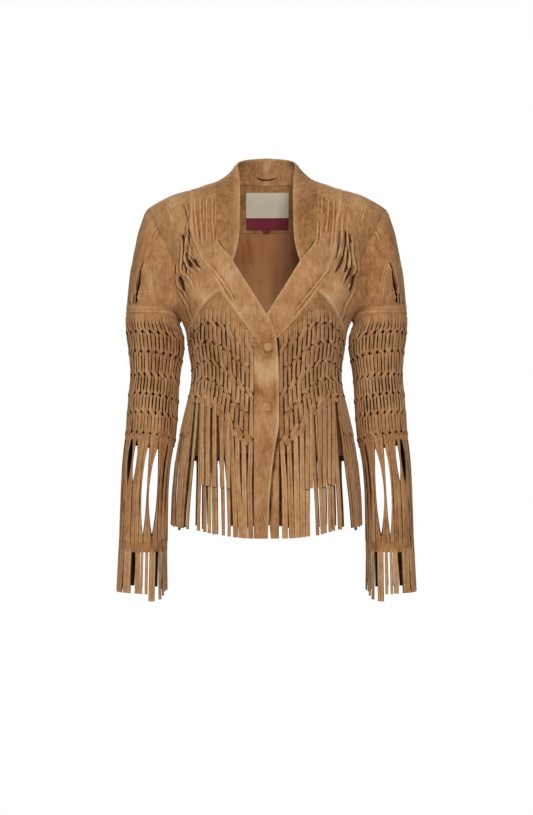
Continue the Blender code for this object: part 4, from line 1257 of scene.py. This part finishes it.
def sleeve_normal(side, angle, z):
    return unit(sleeve_ring(side, angle, z, 1.0) - sleeve_ring(side, angle, z))


def sleeve_ribbon(cloth, side, angle, z, out, width, crown, tone):
    """One strip down the sleeve form."""
    across = unit(sleeve_ring(side, angle + 0.03, z) - sleeve_ring(side, angle - 0.03, z))
    cloth.ribbon(sleeve_ring(side, angle, z, out), across, sleeve_normal(side, angle, z), width,
                 crown=crown, tone=tone)


CAP_FOLDS = [
    (172, -100, 166, -170, 7, 1.6),
    (162, -120, 158, -190, 5, -1.8),
    (196, -70, 212, -120, 8, 1.2),
    (214, -80, 226, -130, 7, -1.2),
]
CAP_LINES = [
    (SEAM, (185.5, -30), (173.5, -66), (158.5, -97)),
    (FOLD, (173.5, -66), (184.5, -86)),
    (CUT, (198.5, -119), (207.5, -139), (212.0, -160), (210.5, -192)),
    (SEAM, (197.5, -121), (190.0, -150), (184.5, -190)),
    (CUT, (216.0, -172), (217.5, -190)),
]
CAP_HOLES = [
    [(203.5, -130.0), (213.0, -190.0), 2.3],
    [(221.5, -181.0), (224.0, -191.0), 0.9],
]
CAP_STITCH_ROW = 60
cap_suede = suede("cap_suede", -0.03)
for name, side in SIDES.items():
    for face, way in FACES.items():
        cap = Cloth()
        share = np.linspace(0, 1, 70)[None]
        t = np.linspace(0, 1, 64)[:, None]
        steps = mix(ARMHOLE_TOP, ARMPIT, np.linspace(0, 1, 121) ** 1.5)
        hole = body(side, angle_at(ARMHOLE.at(face, steps), steps, face == "back"), steps)
        run = np.concatenate([[0], np.cumsum(np.linalg.norm(np.diff(hole, axis=0), axis=1))])
        start = np.stack([np.interp(share, run / run[-1], hole[:, i]) for i in range(3)], -1)
        upper = np.maximum(0.0, np.cos(np.pi * share))
        tucked = 1 - upper
        start = start + joined(side * (0.9 * upper - 1.6 * tucked), -way * 1.2 * tucked, 0.0)
        angle = np.pi * share * (1 if face == "front" else -1)
        end = sleeve_ring(side, angle, sleeve_seam_height(angle))
        out_way = unit(joined(side * np.cos(angle), -np.sin(angle), 0.2))
        swell = 8 * (1 + np.cos(np.pi * share)) / 2 + 4 * np.sin(np.pi * share)
        swell = swell * np.minimum(1.0, np.linalg.norm(end - start, axis=-1) / 70)
        puffed = swell * np.sin(np.pi * t ** 0.8)
        grid = mix(start, end, t[..., None]) + out_way * puffed[..., None]
        x, z = np.abs(grid[..., 0]), grid[..., 2]
        keep = None
        if face == "front":
            moved_x, moved_z, keep = cut_holes(x, z, CAP_HOLES, 2.2)
            grid[..., 0], grid[..., 2] = side * moved_x, moved_z
        relief, ridge_highlight, tone = worked(x, z, CAP_LINES)
        if face == "back":
            relief, ridge_highlight, tone = relief * 0.3, ridge_highlight * 0.2, tone * 0.2
        relief = relief + creases(x, z, CAP_FOLDS) - 0.7 * hump(t * 26) * upper
        seam_ridge = hump((t - 0.05) * 26)
        low_ridge = hump((1 - t - 0.03) * 40)
        relief = relief + 0.8 * seam_ridge + 0.6 * low_ridge
        # Painted highlight on the seam ridges
        ridge_highlight = np.maximum(ridge_highlight, np.maximum(0.6 * seam_ridge * upper, 0.7 * low_ridge))
        grid = grid + out_way * relief[..., None]
        cap.shell(grid, (side * 185, 0, -130), keep=keep, edge=ridge_highlight, tone=0.5 + tone)
        cap.stitches(grid[CAP_STITCH_ROW] + out_way[0] * 0.1, out_way[0])
        piece = cap.piece("sleeve_cap_%s_%s_suede" % (face, name), cap_suede,
                          "sleeve_cap_%s_%s" % (face, name))


# Plaited sleeves. Under a stitched band the whole tube is cut into narrow strips, crossed in
# pairs at six rows. Below them the strips hang free in broad bunches with long gaps between,
# and run into a plain cuff band. Made as a front and a back half.

SLEEVE_STRIPS = 44
SLEEVE_ROWS = 6
ROW_HEIGHTS = Table(
    "row z",
    (-1, -206), (0, -236), (1, -269), (2, -305), (3, -337), (4, -367), (5, -401), (6, -430),
)
ROW_TILT = 5.0
ROW_TURN = 7.0
HALF_STEP = 0.25
BAND_LOW = -214.0
CUFF_TOP = -574.0
CUFF_BAND = -594.0
LOOSE_TOP = -404.0
CAMERA_AWAY = 3200.0

# Lines between the loose strands, counted round half a sleeve from the outer line (0) to
# the inner (1): how far each gapes, between which heights, and whether the back does too
PARTINGS = Table(
    "line share gap top low through",
    (0, 0.0, 0, -400, -500, 0),
    (1, 0.075, 0, -400, -500, 0),
    (2, 0.14, 0, -400, -500, 0),
    (3, 0.20, 0.012, -503, -536, 0),
    (4, 0.258, 0.036, -404, -482, 0),
    (5, 0.344, 0.031, -407, -482, 1),
    (6, 0.40, 0, -400, -500, 0),
    (7, 0.455, 0.004, -470, -550, 0),
    (8, 0.512, 0.036, -415, -570, 1),
    (9, 0.636, 0.058, -424, -570, 1),
    (10, 0.715, 0.004, -430, -540, 0),
    (11, 0.785, 0.014, -404, -560, 0),
    (12, 0.86, 0.004, -430, -540, 0),
    (13, 0.93, 0, -400, -500, 0),
    (14, 1.0, 0, -400, -500, 0),
)
sleeve_suede = suede("sleeve_suede", -0.03)


def sleeve_dip(angle, row):
    """The rows follow the seam's dip under the arm, less and less, and sink to the back."""
    fade = ease(1 - (row + 1) / 2.5)
    return fade * (sleeve_seam_height(angle) - SLEEVE_SEAM) - ROW_TURN * (1 - np.sin(angle))


def lined_up(angle, z):
    """Angle on the back half that lies straight behind one on the front, from the camera."""
    outer, inner = SLEEVE.at("outer", z), SLEEVE.at("inner", z)
    front = sleeve_ring(1, angle, z)
    x, y = front[..., 0], front[..., 1]
    x = x * (CAMERA_AWAY + 2 * SLEEVE.at("y", z) - y) / (CAMERA_AWAY + y)
    return -np.arccos(np.clip((2 * x - outer - inner) / (outer - inner), -0.999, 0.999))


for name, side in SIDES.items():
    places = crossings(SLEEVE_STRIPS, SLEEVE_ROWS, ring=True)
    for face in FACES:
        net = Cloth()
        share = np.linspace(0, 1, 110)[None]
        half = np.pi * share * (1 if face == "front" else -1)
        t = np.linspace(0, 1, 12)[:, None]
        seam_z = sleeve_seam_height(half)
        z = mix(seam_z + 1.2, BAND_LOW + sleeve_dip(half, -1) + ROW_TILT * np.cos(half), t)
        flutes = -0.4 + 0.4 * np.cos(half * SLEEVE_STRIPS + 1.6) * ease(t * 2 - 0.9)
        ridge = hump((t - 0.25) * 8) + 0.7 * hump((t - 0.75) * 8)
        relief = 0.7 * ridge + flutes * ease(t * 2 - 0.6)
        # Painted highlight on the band's ridges
        net.shell(sleeve_ring(side, half, z, relief), (side * 192, 0, -300), edge=0.7 * ridge)
        line_z = mix(seam_z, BAND_LOW + (seam_z - SLEEVE_SEAM), 0.22)[0]
        net.stitches(sleeve_ring(side, half[0], line_z, 0.5), sleeve_normal(side, half[0], line_z))
        t = np.linspace(0, 1, 14)[:, None]
        cuff_z = mix(CUFF_TOP, CUFF_BAND, t) + 0 * half
        furrows = sum(hump((share - at) / 0.008) for at in PARTINGS.columns["share"])
        furrows = furrows * (1 - 0.7 * np.sin(np.pi * t))
        # Painted shade in the furrows between the strands' tops
        net.shell(sleeve_ring(side, half, cuff_z, -0.8 * furrows), (side * 203, -13, -600),
                  tone=0.5 - 0.8 * furrows)
        first = 0 if face == "front" else SLEEVE_STRIPS // 2
        for strip in range(first, first + SLEEVE_STRIPS // 2):
            t = np.arange(-0.92, SLEEVE_ROWS - 1 + 0.42, 0.06 if face == "front" else 0.08)
            place, over = swerve(places[strip], SLEEVE_ROWS, t, SLEEVE_STRIPS)
            angle = (place + 0.5 + HALF_STEP) / SLEEVE_STRIPS * 2 * np.pi
            z = ROW_HEIGHTS.at("z", t) + ROW_TILT * np.cos(angle) + sleeve_dip(angle, t)
            loose = ease((t + 0.8) / 0.5)
            lift = np.where(over > 0, 1.2, 0.9) * over
            out = -0.4 + lift + 0.4 * np.sin(t * 2.3 + strip) * loose
            pitch = np.linalg.norm(sleeve_ring(side, angle + np.pi / SLEEVE_STRIPS, z)
                                   - sleeve_ring(side, angle - np.pi / SLEEVE_STRIPS, z), axis=-1)
            share = 0.74 + 0.15 * np.sin(strip * 2.9 + t * 1.9) if face == "front" else 1.16
            cross = 0.45 if face == "front" else 0.75
            width = pitch * (mix(1.06, share, loose) + cross * np.abs(over))
            # Strips passing under a neighbour get painted shade
            tone = 0.5 + generator.uniform(-0.2, 0.12) - 0.15 * np.clip(-over, 0, 1)
            sleeve_ribbon(net, side, angle, z, out, width, 1.1, tone)
        z = np.linspace(LOOSE_TOP, CUFF_TOP - 4, 40)
        parting = PARTINGS.columns

        def side_of(line, way):
            high, low = parting["top"][line], parting["low"][line]
            share = np.clip((z - high) / (low - high), 0, 1)
            gap = parting["gap"][line] * (1 if face == "front" else parting["through"][line])
            angle = np.pi * (parting["share"][line] + way * gap * np.sin(np.pi * share) ** 0.8)
            return angle if face == "front" else lined_up(angle, z)

        for line in range(len(parting["share"]) - 1):
            a, b = side_of(line, 1), side_of(line + 1, -1)
            angle = (a + b) / 2
            out = -0.6 + 0.6 * np.sin(line * 2.2 + z / 40)
            width = np.linalg.norm(sleeve_ring(side, a, z) - sleeve_ring(side, b, z), axis=-1)
            sleeve_ribbon(net, side, angle, z, out, np.maximum(width * 0.97, 1.5), 0.8,
                          0.5 + generator.uniform(-0.2, 0.15))
        piece = net.piece("sleeve_net_%s_%s_plaits" % (face, name), sleeve_suede,
                          "sleeve_net_%s_%s" % (face, name))


# Cuff fringe. Short strands of unequal width all round the cuff, two or three of them longer
# than the rest, hanging from the lower edge of the cuff band.

CUFF_STRANDS = Table(
    "strand start end low",
    (0, 0.0, 0.125, -659), (1, 0.128, 0.24, -660), (2, 0.243, 0.365, -660.5),
    (3, 0.421, 0.481, -661), (4, 0.492, 0.526, -661.5), (5, 0.553, 0.59, -662),
    (6, 0.612, 0.694, -674), (7, 0.748, 0.792, -671.5), (8, 0.815, 0.85, -666),
    (9, 0.868, 0.925, -660), (10, 0.93, 1.0, -658),
)
CUFF_REACH = 41.0
BEHIND_GAPS = [(0.367, 0.419, -657), (0.70, 0.735, -655)]
for name, side in SIDES.items():
    cuff = Cloth()
    for face in FACES:
        strands = list(zip(*(CUFF_STRANDS.columns[key] for key in ("start", "end", "low"))))
        if face == "back":
            strands += BEHIND_GAPS
        for strand, (start, end, low) in enumerate(strands):
            low = low if face == "front" else -658 - 3 * math.sin(strand)
            z = np.linspace(CUFF_BAND + 6, low, 18)
            down = np.linspace(0, 1, 18)
            centre = (start + end) / 2 + generator.uniform(-0.006, 0.006) * down
            angle = np.pi * centre if face == "front" else lined_up(np.pi * centre, z)
            width = np.pi * CUFF_REACH * (end - start)
            out = -0.5 + 1.5 * down ** 2 * math.sin(strand * 1.9) + 0.6 * down
            sleeve_ribbon(cuff, side, angle, z, out, width, 0.4,
                          0.56 + generator.uniform(-0.14, 0.16))
    piece = cuff.piece("cuff_fringe_%s_strands" % name, fringe_suede, "cuff_fringe_" + name)


# Inside. Brown satin lining in the back and fronts, a suede facing under the back neck, a
# woven label with a coloured foot on it, a small tab below it, and a hanger loop.

LINING_DEPTH = 5.0
LINING_HEM = -436.0
FACING_LOW = -64.0
FACING_DEPTH = 4.4
FACING_HALF = 66.0
LINING_BROWN = (0.57, 0.235, 0.083)
LINING_SHADE = (0.26, 0.098, 0.033)


def satin(name, dark, light):
    """Smooth woven lining, streaked from top to bottom between two colours."""
    material, place = new_material(name)
    stretched = place.node("ShaderNodeMapping", Vector=place, Scale=(40, 40, 5))
    streaks = place.node("ShaderNodeTexNoise", Vector=stretched, Scale=1.0, Detail=3.0,
                         Roughness=0.5)
    weave = place.node("ShaderNodeTexNoise", Vector=place, Scale=1500.0, Detail=1.0)
    colour = streaks.blend((*dark, 1.0), (*light, 1.0))
    dress(material, colour, 0.42 + 0.15 * weave, streaks + 0.1 * weave, 0.25, 0.002,
          Specular_IOR_Level=0.25)
    return material


lining_satin = satin("lining_satin", LINING_SHADE, LINING_BROWN)
shaded_satin = satin("shaded_satin", (0.09, 0.036, 0.014), (0.20, 0.085, 0.034))
LINING_FOLDS = [
    (-28, -66, -20, -120, 3.0, 2.2), (-34, -68, -27, -128, 2.6, -2.4),
    (-39, -70, -34, -132, 2.6, 2.2), (-45, -74, -42, -130, 3.0, -2.2),
    (26, -110, 20, -200, 7, 2.0), (-18, -140, -22, -240, 8, -2.0), (44, -90, 36, -180, 7, -2.0),
    (60, -90, 54, -190, 8, 2.0), (-66, -100, -60, -190, 8, 2.0), (10, -200, 14, -330, 9, 2.0),
]
lining = Cloth()
z = np.concatenate([np.linspace(FACING_LOW - 0.3, ARMPIT, 60),
                    np.linspace(ARMPIT - 4, LINING_HEM, 50)])[:, None]
share = np.linspace(-1, 1, 121)[None]
armhole = angle_at(ARMHOLE.at("back", z) - LINING_DEPTH, z, True)
outer = np.where(z > ARMPIT, armhole, np.pi / 2)
angle = mix(np.pi, outer, np.abs(share))
grid = body(1, angle, z, -LINING_DEPTH)
x = grid[..., 0] * np.sign(share + 1e-9)
centre_pleat = 1.6 * hump((x - 1.6) / 1.2) - 1.2 * hump((x + 1.2) / 1.4)
fold = creases(x, z, LINING_FOLDS) + centre_pleat
grid = body(1, angle, z, -LINING_DEPTH - 1.5 - np.clip(fold, -2.5, 2.5))
grid[..., 0] *= np.sign(share + 1e-9)
lining.shell(grid, (0, 0, -250), thickness=0.8)
piece = lining.piece("lining_back_satin", lining_satin, "lining_back")

for name, side in SIDES.items():
    lining = Cloth()
    z = np.linspace(BACK_YOKE_SEAM, LINING_HEM, 100)[:, None]
    start = angle_at(62 + 24 * ease((z + 180) / 80), z)
    armhole = angle_at(ARMHOLE.at("front", z) - LINING_DEPTH, z)
    outer = np.where(z > ARMPIT, armhole, np.pi / 2)
    angle = mix(start, outer, np.linspace(0, 1, 40)[None])
    lining.shell(body(side, angle, z, -LINING_DEPTH), (side * 40, 0, -250), thickness=0.8)
    piece = lining.piece("lining_front_%s_satin" % name, shaded_satin, "lining_front_" + name)


def neck_inside(x, z, deeper=0.0):
    """Point of the back neck facing, or of what lies on it."""
    grid = body(1, angle_at(np.abs(x), z, True), z, -FACING_DEPTH - deeper)
    grid[..., 0] = np.copysign(grid[..., 0], x + 0 * z)
    return grid


facing = Cloth()
x = np.linspace(-FACING_HALF, FACING_HALF, 50)[None]
t = np.linspace(0, 1, 26)[:, None]
z = mix(NECK.at("z", np.abs(x)) + 0.8, FACING_LOW, t)
facing.shell(neck_inside(x, z), (0, 0, -30), thickness=1.2, underside_shade=0)
piece = facing.piece("back_facing_suede", collar_suede, "back_facing")

LABEL_CREAM = (0.80, 0.71, 0.54)
LABEL_RED = (0.215, 0.016, 0.034)
LABEL_LEFT = -34.5
LABEL_RIGHT = 37.5
LABEL_TOP = 3.0
LABEL_FOOT = -58.0
LABEL_BAND_TOP = -39.5


def woven(name, upper, lower, change):
    """Woven ribbon of one colour above a height and another below it."""
    material, place = new_material(name)
    height = place.node("ShaderNodeSeparateXYZ", Vector=place, output=2)
    below = height.sum("LESS_THAN", height, change / 1000)
    weft, warp = (place.node("ShaderNodeTexWave", {"bands_direction": way}, Vector=place,
                             Scale=scale)
                  for way, scale in (("Z", 700.0), ("X", 500.0)))
    thread = weft * 0.5 + warp * 0.5
    grain = place.node("ShaderNodeTexNoise", Vector=place, Scale=300.0, Detail=3.0)
    colour = below.blend((*upper, 1.0), (*lower, 1.0))
    # The label darkens with random grain and, as painted shade, between its threads
    grain_and_thread_shade = (0.16 * grain + 0.08 * thread).blend(colour, (*(0.3 * part for part in lower), 1.0))
    dress(material, grain_and_thread_shade, 0.75 + 0.15 * grain, thread, 0.3, 0.0004)
    return material


label = Cloth()
x = np.linspace(LABEL_LEFT, LABEL_RIGHT, 40)[None]
z = np.linspace(LABEL_TOP, LABEL_FOOT, 34)[:, None] + 0 * x
puff = 0.8 * (np.sin(np.pi * (x - LABEL_LEFT) / (LABEL_RIGHT - LABEL_LEFT))
              * np.sin(np.pi * (LABEL_TOP - z) / (LABEL_TOP - LABEL_FOOT)))
label.shell(neck_inside(x, z, 1.9 + puff), (0, 0, -30), thickness=0.8)
label_weave = woven("label_weave", LABEL_CREAM, LABEL_RED, LABEL_BAND_TOP)
piece = label.piece("neck_label_woven", label_weave, "neck_label")

tab = Cloth()
x = np.linspace(-6.5, 6.5, 8)[None]
z = np.linspace(-56.0, -66.0, 9)[:, None] + 0 * x
tab.shell(neck_inside(x, z, 1.1 + 1.1 * ease((-57.5 - z) / 1.5)), (0, 0, -60), thickness=0.6)
tab_weave = woven("tab_weave", LABEL_RED, LABEL_RED, LABEL_BAND_TOP)
piece = tab.piece("size_tab_woven", tab_weave, "size_tab")

loop = Cloth()
t = np.linspace(-1, 1, 30)
path = joined(t * 16.0, 65.5 - 2.0 * (1 - t ** 2) + 1.5 * t ** 2, 31.5 - 4.0 * (1 - t ** 2))
loop.ribbon(path, np.tile([0.0, 0.1, 1.0], (30, 1)), np.tile([0.0, -1.0, 0.1], (30, 1)),
            width=6.0, thickness=1.2, crown=0.4)
piece = loop.piece("hanger_loop_suede", collar_suede, "hanger_loop")


# Buttons. Two snap caps covered in the same suede, low domes with a turned-under edge, set
# through the placket of the wearer's right front.

BUTTONS = {"button_upper": (-263, -2.4), "button_lower": (-359, -0.8)}
BUTTON_PROFILE = [(2.0, 3.4), (4.0, 3.05), (5.6, 2.5), (6.8, 1.7), (7.4, 0.9), (7.5, 0.3),
                  (7.1, 0.0)]
BUTTON_SIDES = 40
button_suede = suede("button_suede", 0.12)
for node, (z, u) in BUTTONS.items():
    angle = angle_at(np.float64(u), np.float64(z))
    centre = body(TO_RIGHT, angle, np.float64(z), 0.35)
    outward = body_normal(TO_RIGHT, angle, np.float64(z))
    beside = unit(np.cross(outward, np.array([0.0, 0.0, 1.0])))
    above = np.cross(beside, outward)
    turns = np.linspace(0, 2 * np.pi, BUTTON_SIDES, endpoint=False)[:, None]
    spokes = beside * np.cos(turns) + above * np.sin(turns)
    rings = np.array([centre + outward * height + radius * spokes
                      for radius, height in BUTTON_PROFILE])
    index = np.arange(rings.size // 3).reshape(-1, BUTTON_SIDES)
    after = np.roll(index, -1, axis=1)
    quads = np.stack([index[:-1], index[1:], after[1:], after[:-1]], -1).reshape(-1, 4)
    mesh = bpy.data.meshes.new(node + "_cap")
    points = (rings.reshape(-1, 3) * 0.001).tolist()
    faces = [list(quad) for quad in quads.tolist()] + [index[0].tolist(), index[-1, ::-1].tolist()]
    mesh.from_pydata(points, [], faces)
    # An even painted highlight over the cap
    for mark, value in (("tone", 0.55), ("edge", 0.3), ("thread", 0.0)):
        layer = mesh.attributes.new(mark, "FLOAT", "POINT")
        layer.data.foreach_set("value", np.full(len(points), value, np.float32))
    mesh.shade_smooth()
    mesh.materials.append(button_suede)
    cap = bpy.data.objects.new(node + "_cap", mesh)
    bpy.context.scene.collection.objects.link(cap)
    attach(cap, "root")
    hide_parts(node)


# Studio. A pale round floor well below the jacket, a white surround, broad soft lights from
# the front and the back, both above, a weaker one from the viewer's left, and the camera.

LIT_POINT = (0, 0, -0.3)
FLOOR_SIDES = 96
FLOOR_RADIUS = 0.95
FLOOR_Z = -1.25
CAMERA_Z = -0.359
CAMERA_LENS = 85.67
SURROUND_STRENGTH = 0.20
WHITE = (1.0, 1.0, 1.0, 1.0)
floor_mesh = bpy.data.meshes.new("floor")
around = [(FLOOR_RADIUS * math.cos(a), FLOOR_RADIUS * math.sin(a), FLOOR_Z)
          for a in np.linspace(0, 2 * math.pi, FLOOR_SIDES, endpoint=False)]
floor_mesh.from_pydata(around, [], [list(range(FLOOR_SIDES))])
floor = bpy.data.objects.new("floor", floor_mesh)
bpy.context.scene.collection.objects.link(floor)
floor_paint = bpy.data.materials.new("floor_paint")
floor_paint.use_nodes = True
floor_shader = floor_paint.node_tree.nodes["Principled BSDF"]
floor_shader.inputs["Base Color"].default_value = (0.90, 0.90, 0.89, 1.0)
floor_shader.inputs["Roughness"].default_value = 0.8
floor_mesh.materials.append(floor_paint)

world = bpy.data.worlds.new("surround")
world.use_nodes = True
bpy.context.scene.world = world
tree = world.node_tree
tree.nodes["Background"].inputs["Color"].default_value = WHITE
tree.nodes["Background"].inputs["Strength"].default_value = SURROUND_STRENGTH
seen = tree.nodes.new("ShaderNodeBackground")
seen.inputs["Color"].default_value = WHITE
ray = tree.nodes.new("ShaderNodeLightPath")
either = tree.nodes.new("ShaderNodeMixShader")
tree.links.new(ray.outputs["Is Camera Ray"], either.inputs[0])
tree.links.new(tree.nodes["Background"].outputs[0], either.inputs[1])
tree.links.new(seen.outputs[0], either.inputs[2])
tree.links.new(either.outputs[0], tree.nodes["World Output"].inputs["Surface"])


def softbox(name, place, size, power):
    light = bpy.data.lights.new(name, "AREA")
    light.shape = "RECTANGLE"
    light.size, light.size_y = size
    light.energy = power
    item = bpy.data.objects.new(name, light)
    item.location = place
    away = np.array(place) - np.array(LIT_POINT)
    item.rotation_euler = (math.acos(away[2] / np.linalg.norm(away)), 0,
                           math.atan2(away[0], -away[1]))
    bpy.context.scene.collection.objects.link(item)


softbox("front_light", (0.3, -3.0, 1.1), (1.2, 1.0), 68)
softbox("left_light", (-2.2, -1.8, 0.4), (1.0, 1.6), 12)
softbox("back_light", (-0.5, 2.8, 1.3), (1.6, 1.2), 52)

camera_data = bpy.data.cameras.new("camera")
camera_data.sensor_width = 36
camera_data.lens = CAMERA_LENS
camera = bpy.data.objects.new("camera", camera_data)
camera.location = (0, -CAMERA_AWAY / 1000, CAMERA_Z)
camera.rotation_euler = (math.pi / 2, 0, 0)
bpy.context.scene.collection.objects.link(camera)
bpy.context.scene.camera = camera
bpy.context.scene.view_settings.view_transform = "Standard"
